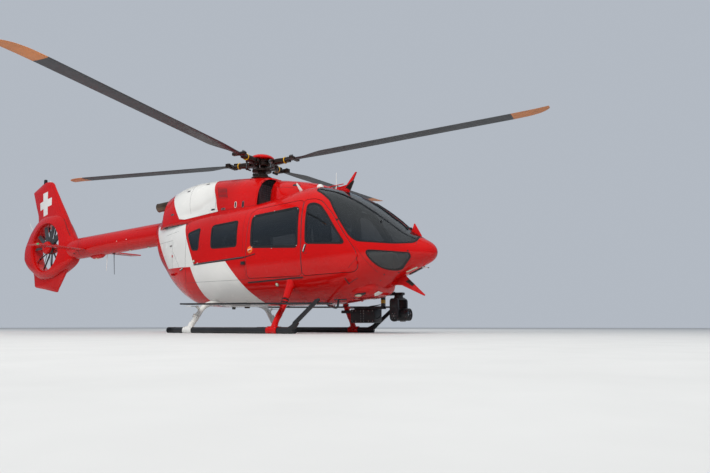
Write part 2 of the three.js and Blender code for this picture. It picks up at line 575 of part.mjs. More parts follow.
// Main rotor: fixed mast cone, turning head, four blades and the dome
add('mast_fairing', turned([[0, 2800 + SEAM], [190, 2800 + SEAM], [190, 2960], [120, 3010], [120, 3055], [60, 3055],
  [60, 3064.7], [0, 3064.7]], 16), DARK_METAL);
const ARM_Z = BLADE_Z - 26;
const spin = (solid, i) => solid.rotate([0, 0, ROTOR_ANGLE + 90 * i]);
const coned = (solid) => solid.rotate([0, -CONING, 0]).translate([0, 0, ARM_Z]);
const arm = coned(join(
  box(0, HUB_ARM, -60, 60, -35, 35),
  rod([330, 0, 0], [HUB_ARM, 0, 0], 75, 62, 8),
  box(286, 330, -160, -40, -20, 20),
)).add(join(
  rod([300, -150, 3120], [300, -150, ARM_Z + 10], 14, 14, 6),
  box(150, 314, -164, -136, 3105, 3135),
));
const head = join(
  turned([[0, 3065], [95, 3065], [95, 3100], [190, 3105], [190, 3150], [80, 3160], [80, 3200], [170, 3215],
    [170, 3330], [90, 3345], [0, 3345]], 12),
  ...[0, 1, 2, 3].map((i) => spin(arm, i)),
);
add('rotor_head', head, DARK_METAL);
add('hub_dome', turned([[0, 3345.3], [225, 3345.3], [240, 3370], [205, 3420], [120, 3450], [0, 3458]], 16), RED);

// Blade outline in plan: radius, leading y, trailing y
const BLADE_PLAN = [
  [HUB_ARM + SEAM, 60, -60], [900, 62, -60], [1450, 100, -195], [4750, 100, -195], [5100, 88, -200],
  [5300, 45, -210], [5420, -25, -222], [ROTOR_RADIUS, -120, -232],
];
const BLADE_HALF = 19;
function bladeRing([r, lead, trail]) {
  const chord = lead - trail;
  const thick = BLADE_HALF * Math.min(1, chord / BLADE_CHORD + 0.35);
  const along = [0, 0.12, 0.35, 1];
  const height = [0, 0.8, 1, 0.12];
  const upper = along.map((t, i) => [r, lead - chord * t, thick * height[i]]);
  const lower = along.slice(1).reverse().map((t, i) => [r, lead - chord * t, -thick * height[3 - i] * 0.7]);
  return [...upper, ...lower];
}
const blade = coned(join(
  loft(BLADE_PLAN.map(bladeRing)),
  box(HUB_ARM + SEAM, 900, -45, 45, -40, 40),
  box(700, 780, -150, 140, -30, 34),
));
for (let i = 0; i < 4; i += 1) add(`rotor_blade_${i + 1}`, spin(blade, i), BLADE_GREY);

// Skids, each with a flat bar that rises outside the step board's edge
const BAR = { inner: STEP.y + STEP.half + SEAM, thick: 26 };
pair('skid', () => join(
  rod([SKID.aft, -SKID.y, SKID.height], [SKID.bend, -SKID.y, SKID.height], SKID.radius, SKID.radius, 10),
  bar([[SKID.bend - 30, -SKID.y, SKID.height], [SKID.bend + 70, -SKID.y - 8, SKID.height + 8],
    [SKID.bend + 170, -SKID.y - 20, 108], [1885, -SKID.y - 32, 178]], 50, { sides: 4, steps: 7 }),
  sidePrism([[1835, 100], [1905, 150], [2345, 510], [2350, 535], [2330, 545], [2275, 532], [1830, 178]],
    -BAR.inner - BAR.thick, -BAR.inner),
).intersect(box(-9000, 9000, -1400, 1400, 0, 1000)), BLACK);
pair('step_board', () => stepBoard(0), BLACK);

// Pilot's foot step below the right door
const TREAD = { x0: 2300, x1: 2480, y0: -815, y1: -700, z: 532 };
add('foot_step', join(
  bar([[1690, -165, 520], [1860, -330, 470], [2240, -690, 418], [2330, -755, 428], [2348, -758, 480],
    [2352, -758, TREAD.z + 6]], 19, { sides: 3, steps: 14 }),
  box(TREAD.x0, TREAD.x1, TREAD.y0, TREAD.y1, TREAD.z, TREAD.z + 16),
).subtract(podClear), BLACK);

// Sensor turret on the left front leg: fixed box and arm, yoke that pans, camera barrel that tilts
const ARM = { y: 700, half: 50, low: 660, high: 710, end: 2745 };
const SENSOR_BOX = { front: 2190, rear: 1670, low: 178, high: 425, near: 620, far: 880 };
const POST = { rear: 2300, front: 2352, half: 42 };
const CLAMP = { low: 360, high: 420 };
add('sensor_mount', join(
  box(SENSOR_BOX.rear, SENSOR_BOX.front, SENSOR_BOX.near, SENSOR_BOX.far, SENSOR_BOX.low, SENSOR_BOX.high),
  box(SENSOR_BOX.rear + 60, POST.front, ARM.y - 45, ARM.y + 60, SENSOR_BOX.high - 5, SENSOR_BOX.high + 50),
  box(1296, 1456, 880, 1112, CLAMP.low, CLAMP.high),
  box(1296, SENSOR_BOX.rear + 60, SENSOR_BOX.far - 10, 950, CLAMP.low, CLAMP.high),
  box(POST.rear, POST.front, ARM.y - POST.half, ARM.y + POST.half, SENSOR_BOX.high, ARM.high - 25),
  box(POST.rear, ARM.end, ARM.y - ARM.half, ARM.y + ARM.half, ARM.low, ARM.high),
).subtract(crossTubeBar(LEG.frontX, FRONT_TUBE, SEAM)), BLACK);

// Ear of the yoke: round below the tilt axis, narrowing above its shoulder
const EAR_STEPS = 8;
const earSide = [];
for (let i = 0; i <= EAR_STEPS; i += 1) {
  const angle = Math.PI * (1 + i / EAR_STEPS);
  earSide.push([TURRET.x + EAR.half * Math.cos(angle), EAR.low + EAR.half * (1 + Math.sin(angle))]);
}
earSide.push([TURRET.x + EAR.half, EAR.shoulder], [TURRET.x + EAR.half - 25, TURRET.panZ]);
earSide.push([TURRET.x - EAR.half + 25, TURRET.panZ], [TURRET.x - EAR.half, EAR.shoulder]);
const ear = (side) => {
  const inner = TURRET.y + side * EAR.inner;
  const outer = inner + side * EAR.thick;
  return sidePrism(earSide, Math.min(inner, outer), Math.max(inner, outer));
};
const YOKE_BAR = { half: 70, thick: 25 };
add('sensor_yoke', join(
  rod([TURRET.x, TURRET.y, TURRET.panZ - 10], [TURRET.x, TURRET.y, ARM.low - SEAM], 80, 80, 16),
  box(TURRET.x - YOKE_BAR.half, TURRET.x + YOKE_BAR.half, TURRET.y - EAR.inner - 5, TURRET.y + EAR.inner + 5,
    TURRET.panZ - YOKE_BAR.thick, TURRET.panZ),
  ear(-1),
  ear(1),
), BLACK);

// Camera barrel with its trunnion, the window sunk in its front and a small box below
const barrelRod = (x0, x1, r0, r1) =>
  rod([TURRET.x + x0, TURRET.y, TURRET.tiltZ], [TURRET.x + x1, TURRET.y, TURRET.tiltZ], r0, r1, 20);
const trunnionEnd = EAR.inner - SEAM;
add('sensor_barrel', join(
  barrelRod(-TURRET.rear, TURRET.front, TURRET.barrel, TURRET.barrel),
  barrelRod(-TURRET.rear - 30, -TURRET.rear + 1, TURRET.barrel - 30, TURRET.barrel),
  rod([TURRET.x, TURRET.y - trunnionEnd, TURRET.tiltZ], [TURRET.x, TURRET.y + trunnionEnd, TURRET.tiltZ], 45, 45, 12),
  box(TURRET.x + 40, TURRET.x + 120, TURRET.y - 35, TURRET.y + 35, TURRET.tiltZ - TURRET.barrel - 14,
    TURRET.tiltZ - TURRET.barrel + 20),
).subtract(barrelRod(TURRET.front - 12, TURRET.front + 5, TURRET.barrel - 16, TURRET.barrel - 16)), BLACK);

// Cabin inside
function seat(x, y) {
  return join(
    box(x, x + 430, y - 215, y + 215, FLOOR_Z + SEAM, FLOOR_Z + 330),
    sidePrism([[x - 130, FLOOR_Z + SEAM], [x + 20, FLOOR_Z + SEAM], [x + 20, FLOOR_Z + 330],
      [x - 60, 1880], [x - 160, 1880]], y - 215, y + 215),
    box(x - 165, x - 70, y - 110, y + 110, 1840, 2060),
  );
}
add('seat_right', seat(1850, -400), GREY);
add('seat_left', seat(1850, 400), GREY);
add('cabin_bench', join(
  box(-300, 200, -600, 600, FLOOR_Z + SEAM, FLOOR_Z + 330),
  box(-420, -260, -600, 600, FLOOR_Z + SEAM, 1800),
), GREY);
add('instrument_panel', join(
  box(2540, 2690, -430, 430, FLOOR_Z + SEAM, 1500),
  box(2330, 2570, -110, 110, FLOOR_Z + SEAM, 1200),
), BLACK);

root.position.x = ORIGIN_SHIFT;

export default root;
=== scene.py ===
# A twin-engine rescue helicopter, parked on its skids.
# Shapes are given in millimetres from the main rotor's axis, +X forward, +Y to port, +Z up,
# and turned into the frame's metres where a mesh is made.
import math

import bmesh
import bpy
import numpy as np
from mathutils import Matrix, Vector
from mathutils.bvhtree import BVHTree


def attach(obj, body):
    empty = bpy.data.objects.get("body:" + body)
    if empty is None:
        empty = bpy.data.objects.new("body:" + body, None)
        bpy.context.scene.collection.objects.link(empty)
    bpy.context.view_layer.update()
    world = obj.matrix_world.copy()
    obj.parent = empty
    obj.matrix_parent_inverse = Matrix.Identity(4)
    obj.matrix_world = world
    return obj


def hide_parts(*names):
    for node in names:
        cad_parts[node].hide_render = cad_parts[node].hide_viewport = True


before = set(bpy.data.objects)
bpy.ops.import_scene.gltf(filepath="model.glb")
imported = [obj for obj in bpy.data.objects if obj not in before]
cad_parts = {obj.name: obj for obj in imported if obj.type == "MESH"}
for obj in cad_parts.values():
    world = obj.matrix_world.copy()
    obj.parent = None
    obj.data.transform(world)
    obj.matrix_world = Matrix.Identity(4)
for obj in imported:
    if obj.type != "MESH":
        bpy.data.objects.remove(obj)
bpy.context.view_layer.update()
SHIFT = 1335
MM = 1000
SCENE = bpy.context.scene
X, Y, Z = (1, 0, 0), (0, 1, 0), (0, 0, 1)
QUARTER = math.pi / 2
RIGHT_LEFT = ((-1, "right"), (1, "left"))


def place(x, y, z):
    return Vector(((x + SHIFT) / MM, y / MM, z / MM))


# Curves and tables
def monotone(xs, ys):
    """Smooth curve through a table that never overshoots it."""
    order = np.argsort(xs)
    xs = np.asarray(xs, float)[order]
    ys = np.asarray(ys, float)[order]
    step = np.diff(xs)
    slope = np.diff(ys) / step
    tangent = np.zeros_like(ys)
    tangent[0], tangent[-1] = slope[0], slope[-1]
    for i in range(1, len(xs) - 1):
        if slope[i - 1] * slope[i] > 0:
            w0 = 2 * step[i] + step[i - 1]
            w1 = step[i] + 2 * step[i - 1]
            tangent[i] = (w0 + w1) / (w0 / slope[i - 1] + w1 / slope[i])

    def value(x):
        i = int(np.clip(np.searchsorted(xs, x) - 1, 0, len(step) - 1))
        t = (x - xs[i]) / step[i]
        a = (1 + 2 * t) * (1 - t) ** 2
        b = t * (1 - t) ** 2
        c = t * t * (3 - 2 * t)
        d = t * t * (t - 1)
        return a * ys[i] + b * step[i] * tangent[i] + c * ys[i + 1] + d * step[i] * tangent[i + 1]
    return value


def table(rows):
    """Rows whose first column is the place along the body, as one smooth function."""
    columns = list(zip(*rows))
    curves = [monotone(columns[0], column) for column in columns[1:]]
    return lambda x: [curve(x) for curve in curves]


def stations(start, end, step):
    """Evenly spaced places with both ends, about a step apart."""
    count = max(2, int(round(abs(end - start) / step)) + 1)
    return [start + (end - start) * i / (count - 1) for i in range(count)]


def arc(start, turn, steps):
    """Cosine and sine at even steps along an arc, with both its ends."""
    return [(math.cos(a), math.sin(a)) for a in (start + turn * k / steps for k in range(steps + 1))]


def circle(sides, start=0.0):
    return arc(start, 2 * math.pi, sides)[:-1]


def signed_power(value, power):
    return math.copysign(abs(value) ** power, value)


def rounded(points, radius, steps=5):
    """Outline with its corners rounded, by a circle's arc where the sides are long enough."""
    out = []
    for i, point in enumerate(points):
        p = np.array(point, float)
        a = np.array(points[i - 1], float) - p
        b = np.array(points[(i + 1) % len(points)], float) - p
        la, lb = np.linalg.norm(a), np.linalg.norm(b)
        cut = min(radius, la * 0.45, lb * 0.45)
        start, end = p + a / la * cut, p + b / lb * cut
        for k in range(steps + 1):
            t = k / steps
            out.append(tuple((1 - t) ** 2 * start + 2 * t * (1 - t) * p + t * t * end))
    return out


def grown(points, distance):
    """Outline moved outwards, with mitred corners."""
    pts = np.array(points, float)
    nxt = np.roll(pts, -1, axis=0)
    area = np.sum(pts[:, 0] * nxt[:, 1] - nxt[:, 0] * pts[:, 1])
    edge = nxt - pts
    normal = np.stack([edge[:, 1], -edge[:, 0]], 1) * np.sign(area)
    normal /= np.linalg.norm(normal, axis=1)[:, None]
    before = np.roll(normal, 1, axis=0)
    spread = distance / (1 + np.sum(before * normal, axis=1))
    return [tuple(p) for p in pts + (before + normal) * spread[:, None]]


def smooth_path(points, count):
    """Evenly flowing curve through all the points, ends kept."""
    pts = [Vector(p) for p in points]
    pts = [pts[0] * 2 - pts[1]] + pts + [pts[-1] * 2 - pts[-2]]
    out = []
    for i in range(1, len(pts) - 2):
        a, b, c, d = pts[i - 1:i + 3]
        for t in (k / count for k in range(count)):
            out.append(0.5 * (2 * b + (c - a) * t + (2 * a - 5 * b + 4 * c - d) * t * t
                              + (3 * b - a - 3 * c + d) * t ** 3))
    return out + [pts[-2]]


def divided(path, step=30):
    """More points on a path of straight stretches."""
    out = []
    for a, b in zip(path, path[1:]):
        count = max(1, round(math.dist(a, b) / step))
        out += [tuple(p + (q - p) * k / count for p, q in zip(a, b)) for k in range(count)]
    return out + [path[-1]]


# Materials
class Nodes:
    """Short names for the few shader nodes that the materials and the sky share."""

    def __init__(self, owner):
        owner.use_nodes = True
        self.tree = owner.node_tree
        self.shader = self.tree.nodes.get("Principled BSDF")
        self.coordinates = self.tree.nodes.new("ShaderNodeTexCoord").outputs

    def feed(self, node, inputs):
        """Give inputs, by name or number, a value or the output of another node."""
        for name, value in inputs.items():
            if isinstance(value, bpy.types.NodeSocket):
                self.tree.links.new(value, node.inputs[name])
            else:
                node.inputs[name].default_value = value

    def new(self, kind, inputs, **settings):
        node = self.tree.nodes.new(f"ShaderNode{kind}")
        for name, value in settings.items():
            setattr(node, name, value)
        self.feed(node, inputs)
        return node.outputs

    def noise(self, scale, detail=3.0):
        inputs = {"Scale": scale, "Detail": detail, "Vector": self.coordinates["Object"]}
        return self.new("TexNoise", inputs)["Fac"]

    def math(self, operation, a, b):
        return self.new("Math", {0: a, 1: b}, operation=operation)[0]

    def scaled(self, value, factor, offset):
        return self.math("ADD", self.math("MULTIPLY", value, factor), offset)

    def ramp(self, fac, *stops):
        node = self.tree.nodes.new("ShaderNodeValToRGB")
        while len(node.color_ramp.elements) < len(stops):
            node.color_ramp.elements.new(0.5)
        for element, (position, colour) in zip(node.color_ramp.elements, stops):
            element.position = position
            element.color = (*colour, 1)
        self.feed(node, {"Fac": fac})
        return node.outputs["Color"]

    def mottled(self, colour, scale, detail, edge, low, high):
        """A colour that drifts between two brightnesses over the surface."""
        dark, light = ([min(1.0, c * factor) for c in colour] for factor in (low, high))
        return self.ramp(self.noise(scale, detail), (edge, dark), (1 - edge, light))

    def mix(self, fac, a, b):
        return self.new("Mix", {0: fac, 6: a, 7: b}, data_type="RGBA")[2]

    def finish(self, relief, strength, distance, **inputs):
        """Relief and the other inputs of the surface's shader."""
        bump = self.new("Bump", {"Strength": strength, "Distance": distance, "Height": relief})
        self.feed(self.shader, {"Normal": bump["Normal"]})
        self.feed(self.shader, {name.replace("_", " "): value for name, value in inputs.items()})


def surface(name, colour, roughness, grain, vary, bump, metallic=0.0, coat=0.0, **extra):
    """Material with colour, roughness and relief that vary a little over the surface."""
    material = bpy.data.materials.new(name)
    n = Nodes(material)
    n.finish(n.noise(grain), bump, 0.001, Metallic=metallic, Coat_Weight=coat, Coat_Roughness=0.06,
             Base_Color=n.mottled(colour, 2.5, 4.0, 0.3, 1 - vary, 1 + vary),
             Roughness=n.scaled(n.noise(9.0), 0.16, roughness - 0.08), **extra)
    return material


def half_plane(p, q):
    """Left side of the line from p to q as ax + bz > c, in metres from the rotor's axis."""
    (x0, z0), (x1, z1) = p, q
    a, b = z0 - z1, x1 - x0
    return a, b, a * x0 + b * z0


def region(n, points):
    """1 inside a convex outline of the side view, given anticlockwise as x and z."""
    total = None
    for a, b, c in map(half_plane, points, points[1:] + points[:1]):
        size = math.hypot(a, b)
        vector = {0: n.coordinates["Object"], 1: (a / size, 0, b / size)}
        along = n.new("VectorMath", vector, operation="DOT_PRODUCT")["Value"]
        inside = n.math("GREATER_THAN", along, (c + a * SHIFT / MM) / size)
        total = inside if total is None else n.math("MULTIPLY", total, inside)
    return total


RED = (0.53, 0.003, 0.0025)
WHITE = (0.72, 0.71, 0.68)
RED_COAT = 0.45
RED_SPECULAR = 0.12


def livery(name, fields):
    """Glossy red with white fields over it."""
    material = bpy.data.materials.new(name)
    n = Nodes(material)
    colour = n.mottled(RED, 1.7, 4.0, 0.25, 0.93, 1.06)
    pale = n.mottled(WHITE, 1.7, 4.0, 0.25, 0.95, 1.04)
    for outline in fields:
        colour = n.mix(region(n, outline), colour, pale)
    n.finish(n.noise(380.0, 2.0), 0.04, 0.0004, Base_Color=colour,
             Roughness=n.scaled(n.noise(7.0), 0.12, 0.2), Metallic=0.0, Specular_IOR_Level=RED_SPECULAR,
             Coat_Weight=RED_COAT, Coat_Roughness=0.05)
    return material


def glass(name, colour, alpha):
    material = bpy.data.materials.new(name)
    n = Nodes(material)
    n.feed(n.shader, {"Alpha": alpha, "IOR": 1.7, "Coat Weight": 1.0, "Coat Roughness": 0.01,
                      "Base Color": n.mottled(colour, 1.5, 3.0, 0.3, 0.8, 1.2),
                      "Roughness": n.scaled(n.noise(5.0), 0.03, 0.015)})
    return material


# White fields of the pod and the cowling, in metres from the rotor's axis
POD_WHITE = [
    [(-0.745, 0.672), (-0.60, 0.40), (0.70, 0.40), (0.507, 0.625), (0.364, 0.90), (0.162, 1.291),
     (-0.907, 1.254), (-0.998, 1.23)],
    [(-2.601, 2.193), (-1.813, 1.19), (-0.998, 1.23), (-0.871, 1.227), (-1.344, 2.187), (-1.60, 2.30)],
    [(-1.60, 2.10), (-1.40, 2.05), (-1.30, 2.19), (-1.40, 2.50), (-1.85, 2.50)],
]
COWL_WHITE = [(-1.519, 2.214), (-1.344, 2.187), (-0.43, 2.266), (-0.411, 2.279), (-0.571, 2.594),
              (-0.74, 3.10), (-2.12, 3.10), (-1.85, 2.705)]
# The plain cross on the fin: its middle, its lean, and half the size of its upright and crossbar
CROSS_X, CROSS_Z, CROSS_LEAN = -7.325, 3.246, 0.18
CROSS_BARS = ((0.315 * 0.88, 0.105), (0.105, 0.315))


def cross_fields():
    cos, sin = math.cos(CROSS_LEAN), math.sin(CROSS_LEAN)
    for x1, z1 in CROSS_BARS:
        corners = [(-x1, -z1), (x1, -z1), (x1, z1), (-x1, z1)]
        yield [(CROSS_X + x * cos - z * sin, CROSS_Z + x * sin + z * cos) for x, z in corners]


# Columns: name, colour, roughness, grain's scale, drift of the colour, relief, metal, coat
SURFACES = {
    "white": ("white_paint", WHITE, 0.3, 300, 0.05, 0.03, 0, 0.7),
    "inner": ("inner_skin", (0.10, 0.10, 0.11), 0.7, 200, 0.2, 0.2),
    "rubber": ("black_rubber", (0.012, 0.012, 0.013), 0.6, 400, 0.25, 0.15),
    "black": ("black_paint", (0.016, 0.016, 0.018), 0.42, 250, 0.25, 0.1),
    "grip": ("anti_slip", (0.02, 0.02, 0.022), 0.85, 900, 0.25, 0.6),
    # the steel's brown tint is a painted reflection of the red paint around it, on every part that uses it
    "steel": ("dark_steel", (0.070, 0.048, 0.040), 0.42, 120, 0.3, 0.12, 0.85),
    "bright": ("bare_metal", (0.45, 0.44, 0.42), 0.32, 200, 0.15, 0.05, 1.0),
    "burnt": ("burnt_metal", (0.16, 0.11, 0.08), 0.45, 40, 0.45, 0.1, 0.9),
    "blade": ("blade_composite", (0.045, 0.047, 0.052), 0.45, 500, 0.15, 0.08),
    "tip": ("blade_tip", (0.62, 0.22, 0.07), 0.45, 500, 0.12, 0.05),
    "yellow": ("yellow_mark", (0.75, 0.42, 0.02), 0.45, 200, 0.1, 0.05),
    "orange": ("orange_plastic", (0.80, 0.14, 0.01), 0.35, 200, 0.1, 0.05, 0, 0.4),
    "lens": ("lamp_glass", (0.62, 0.58, 0.42), 0.12, 90, 0.12, 0.25, 0, 1.0),
    "green_lens": ("green_lamp", (0.01, 0.42, 0.10), 0.15, 90, 0.15, 0.2, 0, 1.0),
    "red_lens": ("red_lamp", (0.6, 0.01, 0.01), 0.15, 90, 0.15, 0.2, 0, 1.0),
    "optic": ("sensor_glass", (0.03, 0.045, 0.065), 0.06, 40, 0.3, 0.02, 0, 1.0),
    "ash": ("grey_paint", (0.16, 0.16, 0.155), 0.5, 200, 0.2, 0.08),
    "cast": ("cast_metal", (0.22, 0.22, 0.23), 0.6, 60, 0.3, 0.5, 0.6),
}
M = {key: surface(*row) for key, row in SURFACES.items()}
M["red"] = surface("red_paint", RED, 0.26, 300, 0.06, 0.03, 0, RED_COAT, Specular_IOR_Level=RED_SPECULAR)
M["fabric"] = surface("seat_cloth", (0.05, 0.05, 0.056), 0.9, 1400, 0.25, 0.5, Sheen_Weight=0.3)
M["glass"] = glass("tinted_glass", (0.010, 0.012, 0.014), 0.58)
M["pod"] = livery("pod_paint", POD_WHITE)
M["cowl"] = livery("cowling_paint", [COWL_WHITE])
M["tail"] = livery("tail_paint", cross_fields())


# Mesh helpers. Edges sharper than this stay sharp in the shading
SHARP = math.radians(32)


def show(mesh, name, body, slot, *replaced):
    thing = bpy.data.objects.new(name, mesh)
    SCENE.collection.objects.link(thing)
    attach(thing, body)
    if replaced:
        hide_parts(*replaced)
    return thing


def body_on(body, label):
    """The body of one side; the airframe has none."""
    return body if body == "airframe" else f"{body}_{label[0]}"


class Piece:
    """A mesh under way; faces name the material that they use."""

    def __init__(self, name, body="airframe", slot=None):
        self.name, self.body, self.slot = name, body, slot
        self.bm = bmesh.new()
        self.materials = []
        self.turn = Matrix.Identity(4)

    def on(self, skin, x, z, side=-1, spin=0.0):
        """Work in a frame that stands on a skin, x along the body, y up it and z outwards."""
        self.turn = standing(skin.hit(x, z, side), side) @ Matrix.Rotation(spin, 4, "Z")

    def over(self, skin, x, y, up=1, spin=0.0, side=-1):
        """The same on a skin seen from below (up=1) or from above (up=-1)."""
        self.turn = standing(skin.under(x, y, up), side) @ Matrix.Rotation(spin, 4, "Z")

    def free(self):
        self.turn = Matrix.Identity(4)

    def paint(self, faces, key):
        if key not in self.materials:
            self.materials.append(key)
        for face in faces:
            face.material_index = self.materials.index(key)
            face.smooth = True

    def faces(self, points, faces, key):
        verts = [self.bm.verts.new(place(*(self.turn @ Vector(p)))) for p in points]
        made = []
        for face in faces:
            try:
                made.append(self.bm.faces.new([verts[i] for i in face]))
            except ValueError:
                continue
        self.paint(made, key)
        return made

    def loft(self, rings, key, caps=True):
        """Skin through rings that hold equally many points."""
        count = len(rings[0])
        points = [p for ring in rings for p in ring]
        faces = []
        for i in range(len(rings) - 1):
            for j in range(count):
                a, b = i * count + j, i * count + (j + 1) % count
                faces.append((a, b, b + count, a + count))
        if caps:
            faces += [tuple(range(count)), tuple(range((len(rings) - 1) * count, len(points)))]
        return self.faces(points, faces, key)

    def tube(self, path, radius, key, sides=16):
        """Round bar along a path; the radius is one number or one per point."""
        path = [Vector(p) for p in path]
        radii = radius if isinstance(radius, (list, tuple)) else [radius] * len(path)
        rings = []
        normal = None
        for i, (p, r) in enumerate(zip(path, radii)):
            forward = (path[min(i + 1, len(path) - 1)] - path[max(i - 1, 0)]).normalized()
            if normal is None:
                normal = forward.orthogonal().normalized()
            normal = (normal - forward * normal.dot(forward)).normalized()
            side = forward.cross(normal)
            rings.append([tuple(p + (normal * c + side * s) * r) for c, s in circle(sides)])
        return self.loft(rings, key)

    def hose(self, points, radius, key, sides=12, count=6):
        self.tube(smooth_path(points, count), radius, key, sides)

    def turned(self, profile, key, at=(0, 0, 0), axis=Z, sides=32):
        """Body of revolution: profile of (radius, height) along the axis from a point."""
        turn = Vector(Z).rotation_difference(Vector(axis)).to_matrix()
        start = Vector(at)
        made = self.loft([[tuple(turn @ Vector((r * c, r * s, height)) + start) for c, s in circle(sides)]
                          for r, height in profile], key)
        bmesh.ops.remove_doubles(self.bm, dist=1e-6,
                                 verts=list(dict.fromkeys(v for f in made if f.is_valid for v in f.verts)))
        return made

    def soften(self, edges, bevel, key):
        """Round edges off; the faces beside them keep their material."""
        result = bmesh.ops.bevel(self.bm, geom=list(edges), offset=bevel / MM, segments=2, affect="EDGES",
                                 profile=0.5, clamp_overlap=True)
        self.paint(result["faces"], key)

    def block(self, lo, hi, key, bevel=4.0):
        """Box with rounded edges between two opposite corners."""
        a, b = (Vector([*map(pick, lo, hi)]) for pick in (min, max))
        made = bmesh.ops.create_cube(self.bm, size=1.0)["verts"]
        for v in made:
            v.co = place(*(self.turn @ (v.co * (b - a) + (a + b) / 2)))
        self.paint(dict.fromkeys(f for v in made for f in v.link_faces), key)
        self.soften(dict.fromkeys(e for v in made for e in v.link_edges), bevel, key)

    def prism(self, outline, y0, y1, key, bevel=0.0, flat=False):
        """Outline of the side view, or where flat of the plan, given thickness."""
        rings = [[(p[0], p[1], depth) if flat else (p[0], depth, p[1]) for p in outline]
                 for depth in sorted((y0, y1))]
        made = self.loft(rings, key)
        if bevel:
            self.soften([e for f in made[-2:] for e in f.edges], bevel, key)

    def mesh(self):
        bmesh.ops.recalc_face_normals(self.bm, faces=self.bm.faces)
        mesh = bpy.data.meshes.new(self.name)
        self.bm.to_mesh(mesh)
        self.bm.free()
        for key in self.materials:
            mesh.materials.append(M[key])
        return mesh

    def done(self, *replaced):
        mesh = self.mesh()
        mesh.set_sharp_from_angle(angle=SHARP)
        show(mesh, self.name, self.body, self.slot, *replaced)


def combine(mesh, *steps):
    """Booleans in turn on a copy: each step is DIFFERENCE, INTERSECT or UNION with another mesh."""
    a = bpy.data.objects.new("work", mesh.copy())
    SCENE.collection.objects.link(a)
    for operation, other in steps:
        b = bpy.data.objects.new("tool", other)
        SCENE.collection.objects.link(b)
        modifier = a.modifiers.new("cut", "BOOLEAN")
        modifier.operation = operation
        modifier.solver = "MANIFOLD"
        modifier.object = b
        evaluated(a)
        bpy.data.objects.remove(b)
    result = a.data
    bpy.data.objects.remove(a)
    result.materials.clear()
    return result


def evaluated(thing):
    """The object's mesh as its modifiers leave it; the modifiers go."""
    mesh = bpy.data.meshes.new_from_object(thing.evaluated_get(bpy.context.evaluated_depsgraph_get()))
    thing.modifiers.clear()
    thing.data = mesh
    return mesh


def solid(build):
    """Mesh of a shape that only serves as a tool or a start."""
    piece = Piece("tool")
    build(piece)
    return piece.mesh()


# Half the width of a tool that reaches past the pod, and places behind and ahead of it
WIDE = 1300
BEHIND, AHEAD = -4000, 5000


def side_tool(points, y0=-WIDE, y1=WIDE):
    return solid(lambda p: p.prism(points, y0, y1, "red"))


def box_tool(x0, x1, z0=0, z1=4000):
    return side_tool([(x0, z0), (x1, z0), (x1, z1), (x0, z1)], -1400, 1400)


def mirrored(mesh):
    """Copy on the other side of the middle plane."""
    bm = bmesh.new()
    bm.from_mesh(mesh)
    for v in bm.verts:
        v.co.y = -v.co.y
    bmesh.ops.reverse_faces(bm, faces=bm.faces)
    other = bpy.data.meshes.new(mesh.name)
    bm.to_mesh(other)
    bm.free()
    return other


# How closely a face has to point along its skin to follow it
ALONG = 0.8


class Skin:
    """Smooth surface that lends its normals to the panels cut from it."""

    def __init__(self, mesh):
        mesh.calc_loop_triangles()
        self.points = [v.co.copy() for v in mesh.vertices]
        self.normals = [Vector(v.vector) for v in mesh.vertex_normals]
        self.triangles = [tuple(t.vertices) for t in mesh.loop_triangles]
        self.tree = BVHTree.FromPolygons(self.points, self.triangles)

    def normal(self, point):
        spot, _, i, _ = self.tree.find_nearest(point)
        a, b, c = self.triangles[i]
        pa, pb, pc = self.points[a], self.points[b], self.points[c]
        v0, v1, v2 = pb - pa, pc - pa, spot - pa
        d00, d01, d11 = v0.dot(v0), v0.dot(v1), v1.dot(v1)
        d20, d21 = v2.dot(v0), v2.dot(v1)
        denominator = d00 * d11 - d01 * d01
        if abs(denominator) < 1e-18:
            return self.normals[a]
        v = (d11 * d20 - d01 * d21) / denominator
        w = (d00 * d21 - d01 * d20) / denominator
        return (self.normals[a] * (1 - v - w) + self.normals[b] * v + self.normals[c] * w).normalized()

    def dress(self, mesh, outside, inside=None):
        """Give a cut panel the surface's normals, one material outside and one on the rest."""
        mesh.materials.clear()
        mesh.materials.append(M[outside])
        mesh.materials.append(M[inside or outside])
        lent = [self.normal(v.co) for v in mesh.vertices]
        loops = [None] * len(mesh.loops)
        for face in mesh.polygons:
            facing = face.normal
            agree = sum((lent[i] for i in face.vertices), Vector()).normalized().dot(facing)
            face.material_index = 0 if agree > ALONG else 1
            face.use_smooth = True
            for loop, i in zip(face.loop_indices, face.vertices):
                loops[loop] = facing if abs(agree) <= ALONG else lent[i] * math.copysign(1, agree)
        mesh.normals_split_custom_set([tuple(v) for v in loops])
        return mesh

    def cast(self, start, direction):
        """Place that a ray meets, in millimetres, and the normal there."""
        spot, normal, _, _ = self.tree.ray_cast(place(*start), Vector(direction))
        if spot is None:
            return None
        return Vector((spot.x * MM - SHIFT, spot.y * MM, spot.z * MM)), normal

    def hit(self, x, z, side=-1):
        """Place on the surface seen square from one side."""
        return self.cast((x, side * 3000, z), (0, -side, 0))

    def under(self, x, y, up=1):
        """Place on the surface seen square from below (up=1) or from above (up=-1)."""
        return self.cast((x, y, -500 if up > 0 else 5000), (0, 0, up))


def standing(found, side=-1):
    """Frame on a skin: x along the body, y up it, z outwards."""
    spot, normal = found
    out = normal.normalized()
    along = (Vector(X) - out * out.x).normalized()
    up = out.cross(along) * -side
    return Matrix.Translation(spot) @ Matrix((along, up, out)).transposed().to_4x4()


